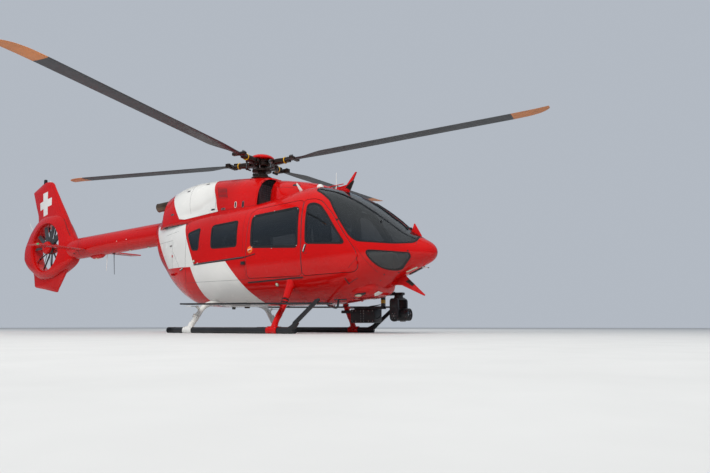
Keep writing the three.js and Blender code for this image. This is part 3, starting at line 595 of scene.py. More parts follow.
# The pod. Columns: x, bottom, top, half width, height of the widest line, lower power, upper power
POD = [
    (3737, 1299, 1303, 3, 1301, 2.0, 2.0),
    (3733, 1280, 1322, 24, 1301, 2.0, 2.0),
    (3722, 1248, 1356, 55, 1300, 2.0, 2.0),
    (3665, 1168, 1432, 150, 1296, 1.8, 2.0),
    (3530, 1096, 1520, 258, 1296, 1.75, 2.1),
    (3330, 1016, 1640, 385, 1306, 1.8, 2.2),
    (3060, 905, 1862, 548, 1330, 1.95, 2.3),
    (2750, 715, 2095, 700, 1360, 2.15, 2.5),
    (2400, 585, 2310, 795, 1400, 2.35, 2.7),
    (2000, 520, 2480, 850, 1450, 2.6, 3.0),
    (1600, 495, 2560, 870, 1480, 2.8, 3.2),
    (1000, 488, 2470, 876, 1500, 2.9, 3.3),
    (200, 485, 2380, 878, 1500, 3.0, 3.3),
    (-600, 485, 2360, 872, 1500, 3.0, 3.2),
    (-1150, 505, 2360, 835, 1520, 2.8, 3.0),
    (-1550, 630, 2360, 755, 1570, 2.5, 2.8),
    (-1900, 830, 2370, 655, 1660, 2.3, 2.6),
    (-2200, 1095, 2375, 540, 1760, 2.2, 2.4),
    (-2450, 1340, 2375, 430, 1860, 2.2, 2.2),
    (-2650, 1680, 2370, 310, 2010, 2.0, 2.0),
    (-2760, 1858, 2362, 217, 2110, 2.0, 2.0),
]
# The fairing under its nose, with the same columns
BELLY_FAIRING = [
    (1900, 560, 900, 380, 800, 3.2, 3.2),
    (2150, 565, 900, 430, 800, 3.2, 3.2),
    (2450, 580, 900, 470, 800, 3.2, 3.2),
    (2700, 628, 900, 400, 800, 3.2, 3.2),
    (2765, 662, 900, 350, 800, 3.0, 3.0),
    (2800, 720, 900, 290, 820, 2.6, 2.6),
]
POD_STATIONS = stations(-2760, 3240, 45) + stations(3260, 3715, 20) + [3722, 3728, 3733, 3737]
FLOOR_Z = 935
REAR_JOINT = -1150
JOINT_GAP = 0.3
HULL_NOSE = 2120
# How thick the walls and the panes are, how proud of the skin the seals stand and how deep they go
WALL, PANE, SEAL_HEIGHT, SEAL_DEPTH = 45.0, 9.0, 2.0, 14.0


def pod_ring(at, x, shrink, sides):
    bottom, top, half, wide, low, high = at(x)
    ring = []
    for c, s in circle(sides):
        power = low if s < 0 else high
        up = signed_power(s, 2 / power)
        reach = (wide - bottom if up < 0 else top - wide) - shrink
        ring.append((x, signed_power(c, 2 / power) * max(half - shrink, 2), wide + up * max(reach, 2)))
    return ring


def pod_solid(shrink=0.0, places=POD_STATIONS, rows=POD, sides=120):
    at = table(rows)
    return solid(lambda p: p.loft([pod_ring(at, x, shrink, sides) for x in places], "red"))


# Openings and doors in the side view: outline, how far in its tool starts, gap to the frame
OUTLINES = {
    "front_door": (rounded([(1672, 950), (2590, 985), (2664, 1050), (2664, 1300), (2470, 1590), (2230, 1950),
                            (2010, 2180), (1880, 2240), (1672, 2240)], 70), 300, 9),
    "sliding_door": (rounded(grown([(500, 950), (1655, 950), (1655, 2215), (1560, 2240), (560, 2190),
                                    (480, 2120), (440, 1500), (450, 1000)], -4), 80), 300, 8),
    "front_door_glass": (rounded([(1752, 1485), (2475, 1440), (2350, 1620), (2130, 1950), (1990, 2110),
                                  (1860, 2165), (1752, 2150)], 70), 300, 1),
    "sliding_door_glass": (rounded([(600, 1500), (1545, 1440), (1575, 1480), (1575, 2070), (1530, 2110),
                                    (600, 2055), (560, 2010), (560, 1550)], 70), 300, 1),
    "aft_window": (rounded([(-430, 1545), (180, 1540), (205, 1580), (200, 1975), (170, 2000),
                            (-440, 1965)], 70), 400, 1),
    "small_window": (rounded([(-945, 1545), (-780, 1540), (-765, 1925), (-800, 1945), (-1080, 1885),
                              (-1095, 1850)], 45), 400, 1),
    "windshield": (rounded([(1760, 2700), (1765, 2440), (1960, 2330), (2130, 2200), (2330, 1900),
                            (2560, 1560), (2680, 1470), (3200, 1425), (3490, 1440),
                            (3460, 1700)], 60), 35, 1),
    "chin_window": (rounded([(2800, 1320), (3150, 1290), (3420, 1265), (3400, 1190), (3200, 1010),
                             (3010, 1020), (2870, 1160)], 90), 60, 1),
    "clamshell_door": ([(-1640, 955), (-3000, 955), (-3000, 1790), (-1640, 1790)], 4.5, 5),
}
NOSE_SEAM = [(3500, 1400), (3290, 900), (3900, 900), (3900, 1800), (3500, 1800)]
# Panes: the body that each rides, and the width of its seal
PANES = {"front_door_glass": ("front_door", 16), "sliding_door_glass": ("airframe", 22),
         "aft_window": ("airframe", 16), "small_window": ("airframe", 14), "windshield": ("airframe", 12),
         "chin_window": ("airframe", 12)}


def outline_tool(name, grow=0.0, side=-1):
    points, near, _ = OUTLINES[name]
    near -= grow if near < 100 else 0
    return side_tool(grown(points, grow), side * near, side * WIDE)


def openings(*names):
    return [("DIFFERENCE", outline_tool(name, OUTLINES[name][2], side)) for name in names for side in (-1, 1)]


def panel(name, mesh, slot, *replaced, body="airframe", look=("pod", "inner")):
    """Piece of the pod's skin; its look is the material outside and inside."""
    show(POD_SKIN.dress(mesh, *look), name, body, slot, *replaced)


def pair(name, mesh, body, slot, *replaced, look=("pod", "inner")):
    """Right piece and its mirror image."""
    for label, half in (("right", mesh), ("left", mirrored(mesh))):
        nodes = [f"{node}_{label}" for node in replaced]
        panel(f"{name}_{label}", half, slot, *nodes, body=body_on(body, label), look=look)


outer = pod_solid()
POD_SKIN = Skin(outer)
above_floor = ("INTERSECT", box_tool(BEHIND, AHEAD, FLOOR_Z))
below_floor = ("INTERSECT", box_tool(BEHIND, AHEAD, 0, FLOOR_Z))
shell = combine(outer, above_floor, ("DIFFERENCE", pod_solid(WALL, stations(-2500, 3290, 120), sides=48)))
skin_band = combine(outer, above_floor, ("DIFFERENCE", pod_solid(PANE, stations(-2600, 3700, 60), sides=80)))
nose_room = ("DIFFERENCE", side_tool(grown(NOSE_SEAM, 4)))
hull = combine(outer, below_floor, nose_room)

gaps = openings("front_door", "sliding_door", "windshield", "chin_window", "aft_window", "small_window")
cabin = combine(shell, nose_room, ("INTERSECT", box_tool(REAR_JOINT + JOINT_GAP, AHEAD)), *gaps)
panel("cabin_shell", cabin, "red_composite", "cabin_frame", "cabin_roof")
rear = combine(shell, ("INTERSECT", box_tool(BEHIND, REAR_JOINT)), *openings("clamshell_door"))
panel("rear_shell", rear, "white_composite", "rear_fuselage")
panel("hull_skin", combine(hull, ("INTERSECT", box_tool(BEHIND, HULL_NOSE))), "hull_alloy", "lower_hull")
panel("nose_belly", combine(hull, ("INTERSECT", box_tool(HULL_NOSE, AHEAD))), "hull_alloy", "nose_underside")
panel("radome", combine(outer, ("INTERSECT", side_tool(NOSE_SEAM))), "red_composite", "nose_cone")
belly = combine(pod_solid(0.0, stations(1900, 2800, 20), BELLY_FAIRING, 96), below_floor)
BELLY_SKIN = Skin(belly)
show(BELLY_SKIN.dress(belly, "red"), "belly_fairing", "airframe", "hull_alloy")

# Doors, panes and their black seals, a little proud of the skin
DOORS = {"front_door": "front_door", "sliding_door": "airframe", "clamshell_door": "clamshell"}
for name, body in DOORS.items():
    glazing = [("DIFFERENCE", outline_tool(f"{name}_glass", 1))] if f"{name}_glass" in PANES else []
    door = combine(shell, ("INTERSECT", outline_tool(name)), *glazing)
    pair(f"{name}_panel", door, body, "red_composite", name)
proud = pod_solid(-SEAL_HEIGHT)
sunk = pod_solid(SEAL_DEPTH)
for name, (body, width) in PANES.items():
    pane = combine(skin_band, ("INTERSECT", outline_tool(name)))
    pair(f"{name}_panel", pane, body, "tinted_glass", name, look=("glass", "glass"))
    seal = combine(proud, ("DIFFERENCE", sunk), ("INTERSECT", outline_tool(name, width)),
                   ("DIFFERENCE", outline_tool(name, -width)))
    pair(f"{name}_seal", seal, body, "black_plastic", look=("rubber", "rubber"))

# Upper deck. Columns: x, base, top, half width, power
ROOF_FAIRING = [
    (1765, 2330, 2500, 150, 2.2),
    (1740, 2300, 2545, 260, 2.4),
    (1560, 2250, 2640, 420, 2.4),
    (1250, 2200, 2725, 520, 2.6),
    (900, 2200, 2790, 540, 2.8),
    (560, 2200, 2850, 390, 3.0),
]
COWLING = [
    (430, 2100, 2905, 640, 3.0),
    (0, 2100, 2945, 675, 3.2),
    (-700, 2100, 2990, 705, 3.2),
    (-1250, 2100, 3010, 715, 3.0),
    (-1700, 2100, 2972, 685, 2.8),
    (-2130, 2100, 2858, 600, 2.6),
]
REAR_COWL = [
    (-2135, 2100, 2650, 575, 2.6),
    (-2350, 2100, 2550, 450, 2.4),
    (-2600, 2100, 2420, 260, 2.2),
]
# Long hollow in the cowling's side: place along the body, height of its middle, depth
HOLLOW = [(-330, 2556, 0), (-440, 2536, 5), (-555, 2503, 13), (-788, 2424, 21), (-1059, 2306, 21),
          (-1289, 2297, 14), (-1450, 2297, 4), (-1560, 2298, 0)]
HOLLOW_WIDTH = 74


def deck_ring(at, x, shrink, sides):
    base, top, half, power = at(x)
    wide, high = half - shrink, top - shrink - base
    return [(x, signed_power(c, 2 / power) * wide, base + abs(s) ** (2 / power) * high)
            for c, s in arc(0.0, math.pi, sides)]


def deck_solid(rows, shrink=0.0, places=None, sides=56):
    at = table(rows)
    places = places or stations(rows[-1][0], rows[0][0], 40)
    return solid(lambda p: p.loft([deck_ring(at, x, shrink, sides) for x in places], "red"))


def cowl_solid():
    """The cowling with the hollow pressed into both its sides."""
    mesh = deck_solid(COWLING, 0.0, stations(-2130, 430, 28), 108)
    at = table(HOLLOW)
    for vert in mesh.vertices:
        x = vert.co.x * MM - SHIFT
        if HOLLOW[-1][0] < x < HOLLOW[0][0]:
            height, depth = at(x)
            away = (vert.co.z * MM - height) / HOLLOW_WIDTH
            vert.co.y -= math.copysign(max(depth, 0) * math.exp(-away * away) / MM, vert.co.y)
    return mesh


def exhaust_run(side, start):
    """Middle line of an exhaust pipe, from its start to its mouth."""
    return [Vector((x, side * y, z)) for x, y, z in (start, (-2520, 390, 2590))]


def exhaust_hole(side):
    return "DIFFERENCE", solid(lambda p: p.tube(exhaust_run(side, (-2080, 290, 2642)), [101, 96], "red", 48))


DECK_SKIN = Skin(deck_solid(ROOF_FAIRING))
COWL_SKIN = Skin(cowl_solid())
# The room inside the cowling reaches past its front edge, so that the intake is open
cowl_room = deck_solid(COWLING, 30.0, [480 if x > 400 else x for x in stations(-2060, 430, 60)])
above_pod = ("DIFFERENCE", outer)
fairing = combine(deck_solid(ROOF_FAIRING), above_pod)
show(DECK_SKIN.dress(fairing, "red"), "roof_fairing_skin", "airframe", "red_composite", "roof_fairing")
cowl = combine(cowl_solid(), ("DIFFERENCE", cowl_room), above_pod)
show(COWL_SKIN.dress(cowl, "cowl", "black"), "cowling_skin", "airframe", "white_composite", "engine_cowling")
rear = combine(deck_solid(REAR_COWL), above_pod, exhaust_hole(-1), exhaust_hole(1))
Skin(deck_solid(REAR_COWL)).dress(rear, "red")
show(rear, "rear_cowl_skin", "airframe", "red_composite", "rear_cowl")
for side, label in RIGHT_LEFT:
    p = Piece(f"exhaust_pipe_{label}", slot="dark_metal")
    a, b = exhaust_run(side, (-2135, 303, 2635))
    reach = (b - a).length
    p.turned([(80, 0), (94, 0), (95, 20), (92, reach * 0.5), (91, reach - 14), (94, reach - 10),
              (94, reach - 2), (90, reach), (84, reach), (81, reach - 6), (78, reach * 0.5), (76, 4),
              (80, 0)], "burnt", a, (b - a).normalized(), 48)
    p.done(f"exhaust_{label}")

# Tail boom: where it starts and ends; there the height of its middle, its width and its height
BOOM_START, BOOM_END = -2760, -5930
BOOM_FROM, BOOM_TO = (2110, 430, 500), (1990, 410, 510)
BOOM_LAMP_AT = table([(-4790, 1800, 40, 40), (-4950, 1775, 120, 130), (-5200, 1770, 130, 140),
                      (-5390, 1790, 50, 60)])


def oval(x, centre, width, height, sides=48):
    return [(x, c * width / 2, centre + s * height / 2) for c, s in circle(sides)]


def boom_ring(x, grow=0.0):
    t = (x - BOOM_START) / (BOOM_END - BOOM_START)
    middle, width, height = (a + (b - a) * t for a, b in zip(BOOM_FROM, BOOM_TO))
    return oval(x, middle, width + 2 * grow, height + 2 * grow)


p = Piece("boom_tube", slot="red_composite")
rings = [boom_ring(x) for x in stations(BOOM_START - 1, BOOM_END, 160)]
p.loft(rings + [oval(-6240, 1990, 300, 400)], "tail")
p.loft([oval(x, *BOOM_LAMP_AT(x), sides=28) for x in stations(-4790, -5390, 25)], "tail")
p.done("tail_boom")

# A thick ring around the tail fan and thin fins through it, both with the columns
# z, leading x, trailing x, half thickness, half thickness at the rear, roundness of the ends
RING = [
    (1290, -6900, -7250, 60, 60, 0.60),
    (1310, -6780, -7360, 110, 95, 0.55),
    (1350, -6640, -7450, 150, 125, 0.50),
    (1420, -6470, -7570, 185, 145, 0.48),
    (1520, -6250, -7760, 202, 150, 0.46),
    (1620, -6060, -7925, 208, 152, 0.45),
    (1745, -5945, -8062, 210, 155, 0.45),
    (1850, -5933, -8135, 210, 155, 0.45),
    (2000, -5933, -8150, 210, 155, 0.45),
    (2130, -5933, -8130, 210, 155, 0.45),
    (2310, -6085, -8035, 209, 152, 0.45),
    (2480, -6215, -7930, 206, 146, 0.45),
    (2620, -6330, -7810, 198, 135, 0.46),
    (2740, -6435, -7690, 180, 118, 0.48),
    (2830, -6530, -7560, 150, 100, 0.50),
    (2890, -6620, -7440, 110, 85, 0.55),
    (2920, -6700, -7300, 60, 55, 0.60),
]
FINS = [
    (958, -6625, -6720, 16, 14, 0.80),
    (1040, -6585, -7190, 34, 24, 0.80),
    (1117, -6531, -7650, 46, 26, 0.80),
    (1290, -6412, -7703, 62, 30, 0.78),
    (1412, -6330, -7735, 72, 34, 0.75),
    (1700, -6120, -7900, 80, 40, 0.70),
    (2130, -5950, -7900, 150, 60, 0.60),
    (2490, -6185, -7800, 128, 60, 0.60),
    (2740, -6362, -7690, 118, 46, 0.60),
    (2917, -6487, -7708, 106, 36, 0.60),
    (3230, -6722, -7851, 85, 20, 0.62),
    (3560, -6960, -7998, 64, 15, 0.66),
    (3625, -7008, -8026, 60, 14, 0.68),
    (3665, -7037, -7945, 58, 15, 0.69),
    (3760, -7105, -7727, 54, 18, 0.72),
    (3823, -7200, -7580, 46, 20, 0.75),
    (3839, -7290, -7500, 30, 16, 0.75),
]
FAN = (-7070, 0, 2090)
# The hole is a tube with flared lips: radius, distance from the middle plane
DUCT_LIP = [(585, 78), (587, 100), (593, 124), (604, 150), (620, 174), (641, 193), (665, 205), (692, 212),
            (730, 216)]
DUCT = [(0, -260), (730, -260)] + [(r, -y) for r, y in reversed(DUCT_LIP)] + DUCT_LIP + [(730, 260), (0, 260)]


def upright_body(rows, heights):
    """Closed body of level rings, thickest ahead and thinner towards its trailing edge."""
    at = table(rows)
    rings = []
    for z in heights:
        lead, trail, half, rear, roundness = at(z)
        ring = []
        for c, s in circle(120):
            along = (1 - c) / 2
            thick = half + (rear - half) * along ** 3
            ring.append((lead + (trail - lead) * along, -signed_power(s, roundness) * thick, z))
        rings.append(ring)
    return solid(lambda p: p.loft(rings, "red"))


# How closely a face has to point along its body here, and how far its corners are drawn in to find it
JOINED_ALONG, DRAWN_IN = 0.6, 0.15


def dress_joined(mesh, skins, key):
    """Normals for a mesh joined and cut from several smooth bodies; each face follows the nearest one."""
    mesh.materials.append(M[key])
    loops = [None] * len(mesh.loops)
    for face in mesh.polygons:
        face.use_smooth = True
        skin = min(skins, key=lambda one: one.tree.find_nearest(face.center)[3])
        for loop, i in zip(face.loop_indices, face.vertices):
            lent = skin.normal(mesh.vertices[i].co.lerp(face.center, DRAWN_IN))
            agree = lent.dot(face.normal)
            loops[loop] = face.normal if abs(agree) < JOINED_ALONG else lent * math.copysign(1, agree)
    mesh.normals_split_custom_set([tuple(v) for v in loops])


hoop = upright_body(RING, [1290, 1298, 1310, 1328] + stations(1350, 2890, 24) + [2905, 2914, 2920])
fins = upright_body(FINS, stations(958, 3800, 29) + [3815, 3828, 3839])
duct = solid(lambda p: p.turned(DUCT, "red", FAN, Y, 144))
skins = [Skin(hoop), Skin(fins), Skin(duct)]
tail = combine(hoop, ("UNION", fins))
TAIL_SKIN = Skin(tail)
tail = combine(tail, ("DIFFERENCE", duct))
dress_joined(tail, skins, "tail")
show(tail, "tail_shroud", "airframe", "red_composite", "tail_fin")

# Tail fan, its fixed vanes and the stabiliser
ACROSS = Matrix.Translation(FAN) @ Matrix.Rotation(QUARTER, 4, "X")
AIRFOIL = [(1, 0.02), (0.9, 0.18), (0.75, 0.42), (0.55, 0.76), (0.35, 0.99), (0.2, 0.95), (0.1, 0.76),
           (0.04, 0.5), (0.01, 0.25), (0, 0), (0.01, -0.2), (0.04, -0.36), (0.1, -0.5), (0.2, -0.6),
           (0.35, -0.62), (0.55, -0.5), (0.75, -0.28), (0.9, -0.12), (1, -0.02)]


def around(count, start=0.0, turn=Matrix.Identity(4)):
    """Frames turned evenly about the upright axis of another one."""
    return [turn @ Matrix.Rotation(start + 2 * math.pi * i / count, 4, "Z") for i in range(count)]


FAN_ROOT, FAN_TIP = 140, 573


def fan_blade_ring(r):
    """Section of a fan blade; its pitch eases and it thins towards the tip."""
    t = (r - FAN_ROOT) / (FAN_TIP - FAN_ROOT)
    pitch = 0.78 - 0.34 * t
    cos, sin = math.cos(pitch), math.sin(pitch)
    chord, thick = 84 + 10 * math.sin(t * math.pi), 9 - 4 * t
    places = [((along - 0.45) * chord, up * thick) for along, up in AIRFOIL]
    return [(r, a * cos - b * sin, 55 + a * sin + b * cos) for a, b in places]


p = Piece("fan_wheel", "tail_fan", "dark_metal")
p.turn = ACROSS
p.turned([(0, 10), (150, 10), (160, 30), (160, 92), (150, 100), (0, 100)], "steel", sides=64)
p.turned([(0, 64), (157, 64), (162, 70), (162, 96), (158, 118), (146, 138), (122, 152), (84, 160),
          (0, 165.5)], "red", sides=72)
for c, s in circle(8):
    p.turned([(0, 150), (9, 150), (8, 158), (0, 159)], "red", (112 * c, 112 * s, 0), sides=6)
p.turned([(0, 160), (16, 160), (14, 166), (0, 166)], "steel", sides=16)
for turn in around(10, 0.0, ACROSS):
    p.turn = turn
    p.loft([fan_blade_ring(r) for r in stations(FAN_ROOT, FAN_TIP, 40)], "blade")
p.done("fan_rotor")

p = Piece("fan_vanes", slot="red_composite")
p.turn = ACROSS
p.turned([(0, -170), (40, -169), (90, -160), (125, -135), (146, -100), (152, -60), (152, -12), (45, -10),
          (45, 9.5), (0, 9.5)], "red", sides=64)
for turn in around(11, 0.2, ACROSS):
    p.turn = turn
    rings = [[(r, up * 9, -20 - along * 42) for along, up in AIRFOIL] for r in stations(130, 583, 110)]
    p.loft(rings, "black")
p.done("fan_stator")

STABILISER_LEAD, STABILISER_TRAIL, STABILISER_Z = -5280, -5690, 1925
# Half its thickness, and where its tip starts and ends
STABILISER_HALF, STABILISER_ROUND, STABILISER_END = 26, 1330, 1375
for side, label in RIGHT_LEFT:
    p = Piece(f"stabiliser_{label}_skin", slot="red_composite")
    rings = []
    for y in [150, 400, 700, 1000, 1250, STABILISER_ROUND, 1358, 1370, STABILISER_END]:
        tip = max(0.0, (y - STABILISER_ROUND) / (STABILISER_END - STABILISER_ROUND))
        thick = STABILISER_HALF * (math.sqrt(max(0.0, 1 - tip * tip)) * 0.9 + 0.1)
        lead = STABILISER_LEAD - 60 * tip ** 2
        rings.append([(lead - along * (lead - STABILISER_TRAIL), side * y, STABILISER_Z + up * thick)
                      for along, up in AIRFOIL])
    p.loft(rings, "red")
    p.block((STABILISER_TRAIL - 8, side * 360, 1922), (STABILISER_TRAIL + 2, side * 1160, 1930), "red", 2)
    p.done(f"stabiliser_{label}")

# Main rotor
CONING = math.radians(2.69)
ROTOR_ANGLE = math.radians(7.09)
ARM_Z = 3260
ARMS = [turn @ Matrix.Translation((0, 0, ARM_Z)) @ Matrix.Rotation(-CONING, 4, "Y")
        for turn in around(4, ROTOR_ANGLE)]
BLADE_START, TIP_START, BLADE_END = 560.6, 4900, 5499
# Blade outline in plan: radius, leading y, trailing y, half thickness
BLADE_PLAN = [
    (BLADE_START, 58, -58, 26), (620, 56, -56, 24), (900, 62, -60, 20), (1150, 84, -130, 20),
    (1450, 100, -195, 19), (4750, 100, -195, 17), (5100, 88, -200, 14), (5300, 45, -210, 11),
    (5420, -25, -222, 8), (5470, -78, -228, 6), (BLADE_END, -119, -232, 4),
]
BLADE_AT = table(BLADE_PLAN)
# Where the section is a full airfoil, and over what length it turns into a bar
FULL_AIRFOIL, BLEND = 1150, 400


def oblong(x, y, z0, z1, power):
    """Ring across a bar that runs along x."""
    middle, half, power = (z0 + z1) / 2, (z1 - z0) / 2, 2 / power
    return [(x, signed_power(c, power) * y, middle + signed_power(s, power) * half) for c, s in circle(28)]


def blade_ring(r):
    """The blade's section: an airfoil that turns into an oval bar near the root."""
    lead, trail, thick = BLADE_AT(r)
    flat = min(1.0, max(0.0, (FULL_AIRFOIL - r) / BLEND))
    ring = []
    for along, up in AIRFOIL:
        bar = 0.0 if along in (0, 1) else math.copysign(math.sin(math.acos(2 * along - 1)) ** 0.6, up)
        ring.append((r, lead - (lead - trail) * along, thick * ((1 - flat) * up + flat * bar * 0.9)))
    return ring


p = Piece("rotor_hub", "main_rotor", "dark_metal")
p.turned([(0, 3065), (70, 3065), (76, 3070), (76, 3098), (92, 3100), (176, 3103), (188, 3108), (190, 3126),
          (188, 3144), (176, 3150), (96, 3152), (80, 3160), (78, 3196), (120, 3204), (160, 3214),
          (170, 3226), (170, 3240), (150, 3246), (150, 3290), (170, 3296), (172, 3318), (160, 3330),
          (96, 3336), (0, 3345)], "steel", sides=64)
for c, s in circle(12, 0.1):
    bolt = [(0, 3318), (11, 3318), (11, 3334), (8, 3338), (0, 3338)]
    p.turned(bolt, "bright", (138 * c, 138 * s, 0), sides=6)
for arm, turn in zip(ARMS, around(4, ROTOR_ANGLE)):
    p.turn = arm
    for z0, z1 in ((-44, -28), (28, 44)):
        p.loft([oblong(x, w, z0, z1, 5)
                for x, w in ((100, 62), (150, 84), (240, 86), (300, 78), (335, 52), (342, 40))], "steel")
    p.loft([oblong(x, w, -h, h, 3)
            for x, w, h in ((120, 40, 18), (240, 44, 20), (300, 70, 40), (330, 75, 52), (360, 74, 56),
                            (430, 70, 54), (500, 62, 50), (540, 60, 46), (559, 58, 44))], "steel")
    p.turned([(56, 0), (66, 0), (66, 16), (56, 16)], "yellow", (528, 0, 0), X, 40)
    p.turned([(0, 0), (40, 0), (44, 4), (44, 20), (40, 26), (24, 28), (20, 18), (0, 18)], "bright",
             (262, -82, 0), (0, -1, 0), 36)
    p.turned([(0, 0), (34, 0), (36, 6), (30, 18), (0, 20)], "steel", (262, 82, 0), Y)
    for x in (190, 300):
        for z in (44, -60):
            p.turned([(0, 0), (15, 0), (15, 10), (11, 16), (0, 16)], "bright", (x, 0, z), sides=6)
    p.block((286, -160, -18), (330, -58, 18), "steel", 6)
    p.turn = turn
    p.tube([(300, -150, z) for z in (3122, 3150, 3250, 3276)], [15, 10, 10, 15], "bright")
    for z in (3120, 3262):
        p.turned([(0, -14), (18, -12), (21, 0), (18, 12), (0, 14)], "steel", (300, -150, z), Y, 24)
    p.block((168, -163, 3106), (314, -137, 3134), "steel", 6)
    p.tube([(150, 60, 3150), (172, 66, 3180), (168, 60, 3214)], 9, "bright", 12)
p.done("rotor_head")

p = Piece("rotor_dome", "main_rotor", "red_composite")
p.turned([(0, 3345.6), (222, 3345.6), (232, 3350), (240, 3362), (239, 3374), (228, 3390), (200, 3412),
          (160, 3431), (110, 3446), (55, 3455), (0, 3458)], "red", sides=72)
p.done("hub_dome")

p = Piece("mast_base", slot="dark_metal")
p.turned([(0, 2801), (215, 2960), (205, 2985), (190, 2998), (140, 3010), (122, 3024), (120, 3052), (64, 3055),
          (60, 3064), (0, 3064)], "steel", sides=64)
for c, s in circle(3, 0.6):
    p.tube([(r * c, r * s, z) for r, z in ((150, 2940), (118, 3000), (100, 3052))], 14, "bright", 14)
p.done("mast_fairing")

for i, arm in enumerate(ARMS):
    p = Piece(f"blade_{i + 1}", "main_rotor", "blade_composite")
    p.turn = arm
    p.loft([blade_ring(r) for r in stations(BLADE_START, TIP_START, 75)], "blade")
    p.loft([blade_ring(r) for r in stations(TIP_START, BLADE_END, 30)], "tip")
    p.block((704, -150, -26), (776, 140, 28), "steel", 8)
    for y in (-112, 96):
        p.turned([(0, -34), (20, -34), (24, -28), (24, 28), (20, 34), (0, 34)], "bright", (740, y, 30), X, 28)
    p.block((561, -50, -42), (640, 50, 42), "steel", 8)
    for y in (-26, 26):
        p.turned([(0, 42), (12, 42), (12, 50), (8, 54), (0, 54)], "bright", (600, y, 0), sides=6)
    p.done(f"rotor_blade_{i + 1}")

# Landing gear. The right half of each cross tube from its foot: y, z
FRONT_TUBE = [(-1200, 50), (-1140, 175), (-1060, 295), (-940, 450), (-860, 620), (-790, 770), (-690, 868),
              (-500, 885)]
REAR_TUBE = [(-1200, 50), (-1150, 140), (-1050, 255), (-930, 410), (-850, 480), (-740, 525), (-590, 548),
             (-400, 560)]
SKID_Y, SKID_Z, SKID_AFT, SKID_BEND = 1200, 50, -950, 1640
STEP_Y, STEP_Z, STEP_RISE, STEP_AFT, STEP_FORE = 1150, 480, 50, -790, 2450


def rest_on_floor(p):
    """Flatten what would reach below the floor."""
    for vert in p.bm.verts:
        vert.co.z = max(vert.co.z, 0.0)


def saddle(p, x, side, key):
    """Clamp that holds a cross tube on its skid, with its bolts."""
    y = side * SKID_Y
    p.turned([(56.5, -105), (68, -105), (70, -98), (70, -52), (64, -44), (64, 44), (70, 52), (70, 98),
              (68, 105), (56.5, 105), (56.5, 0)], key, (x, y, SKID_Z), X, 36)
    for dx in (-76, 76):
        for out in (-1, 1):
            p.turned([(0, 0), (9, 0), (9, 7), (6, 10), (0, 10)], "bright",
                     (x + dx, y + out * 44, SKID_Z + 50), (0, out * 0.6, 0.8), 6)


for end, x, half, key, shelf in (("front", 1376, FRONT_TUBE, "red", 452),
                                 ("rear", -570, REAR_TUBE, "white", 468)):
    p = Piece(f"{end}_legs", slot=f"{key}_steel")
    p.hose([(x, y, z) for y, z in half] + [(x, -y, z) for y, z in reversed(half)], 48, key, 28, 8)
    for side in (-1, 1):
        saddle(p, x, side, key)
        p.tube([(x, side * 940, 402), (x, side * 1040, 478)], 24, key, 18)
        p.block((x - 70, side * STEP_Y - 96, shelf), (x + 70, side * STEP_Y + 96, shelf + 10), key, 3)
        p.tube([(x, side * y, z) for y, z in ((1140, 175), (1162.5, 125), (1185, 75))], [50, 54, 62], key, 28)
        if key == "red":
            p.tube([(x, side * y, z) for y, z in ((886, 574), (880, 586), (868, 610), (815, 715), (760, 822),
                                                  (738, 866))], [50, 54, 57, 67, 79, 84], key, 40)
            for y, z in ((893, 560), (913, 512)):
                p.turned([(48.5, -9), (57, -9), (60, -6), (60, 6), (57, 9), (48.5, 9), (48.5, -9)], "black",
                         (x, side * y, z), (0, side * -0.38, 0.92), 36)
        for y, z in ((1045, 312), (1070, 282)):
            p.turned([(49, -6), (53, -6), (53, 6), (49, 6), (49, -6)], key, (x, side * y, z),
                     (0, side * -0.62, 0.78), 28)
    rest_on_floor(p)
    p.done(f"cross_tube_{end}")

for side, label in RIGHT_LEFT:
    p = Piece(f"skid_tube_{label}", slot="black_alloy")
    y = side * SKID_Y
    path = smooth_path([(SKID_AFT, y, 50), (SKID_AFT + 40, y, 50), (SKID_BEND - 30, y, 50),
                        (SKID_BEND + 70, y + side * 8, 58), (SKID_BEND + 170, y + side * 20, 108),
                        (1885, y + side * 32, 178)], 8)
    p.tube(path, [48] + [54 - 10 * max(0.0, (v.x - 1700) / 185) for v in path[1:]], "black", 32)
    p.tube([(SKID_AFT - 0.5, y, 50), (SKID_AFT + 30, y, 50)], 55.5, "rubber", 32)
    strut = [(1835, 100), (1905, 150), (2345, 510), (2350, 535), (2330, 545), (2275, 532), (1830, 178)]
    p.prism(rounded(strut, 12, 3), side * (STEP_Y + 95.5), side * (STEP_Y + 121), "black", 4)
    for x0, x1 in ((-900, -700), (200, 500), (1000, 1250)):
        p.block((x0, y - 22, 0.2), (x1, y + 22, 9), "bright", 2)
    rest_on_floor(p)
    p.done(f"skid_{label}")

    p = Piece(f"step_{label}", slot="black_alloy")
    middle = ((STEP_AFT + STEP_FORE) / 2, side * STEP_Y, STEP_Z + STEP_RISE / 2)
    slope = math.atan2(STEP_RISE, STEP_FORE - STEP_AFT)
    half = (STEP_FORE - STEP_AFT) / 2
    p.turn = Matrix.Translation(middle) @ Matrix.Rotation(slope, 4, "Y")
    p.block((-half, -95, -26), (half, 95, -2), "black", 10)
    p.block((-half + 12, -80, -4), (half - 12, 80, 0), "grip", 2)
    for y in (-88, 88):
        p.block((-half + 4, y - 6, -24), (half - 4, y + 6, 1), "black", 3)
    p.done(f"step_board_{label}")

p = Piece("foot_step_skin", slot="black_alloy")
p.hose([(1690, -165, 530), (1860, -330, 470), (2240, -690, 418), (2330, -755, 428), (2348, -758, 480),
        (2352, -758, 538)], 19, "black", 18, 8)
p.block((2300, -815, 532), (2480, -700, 546), "black", 5)
p.block((2306, -809, 544), (2474, -706, 549), "grip", 1)
p.done("foot_step")

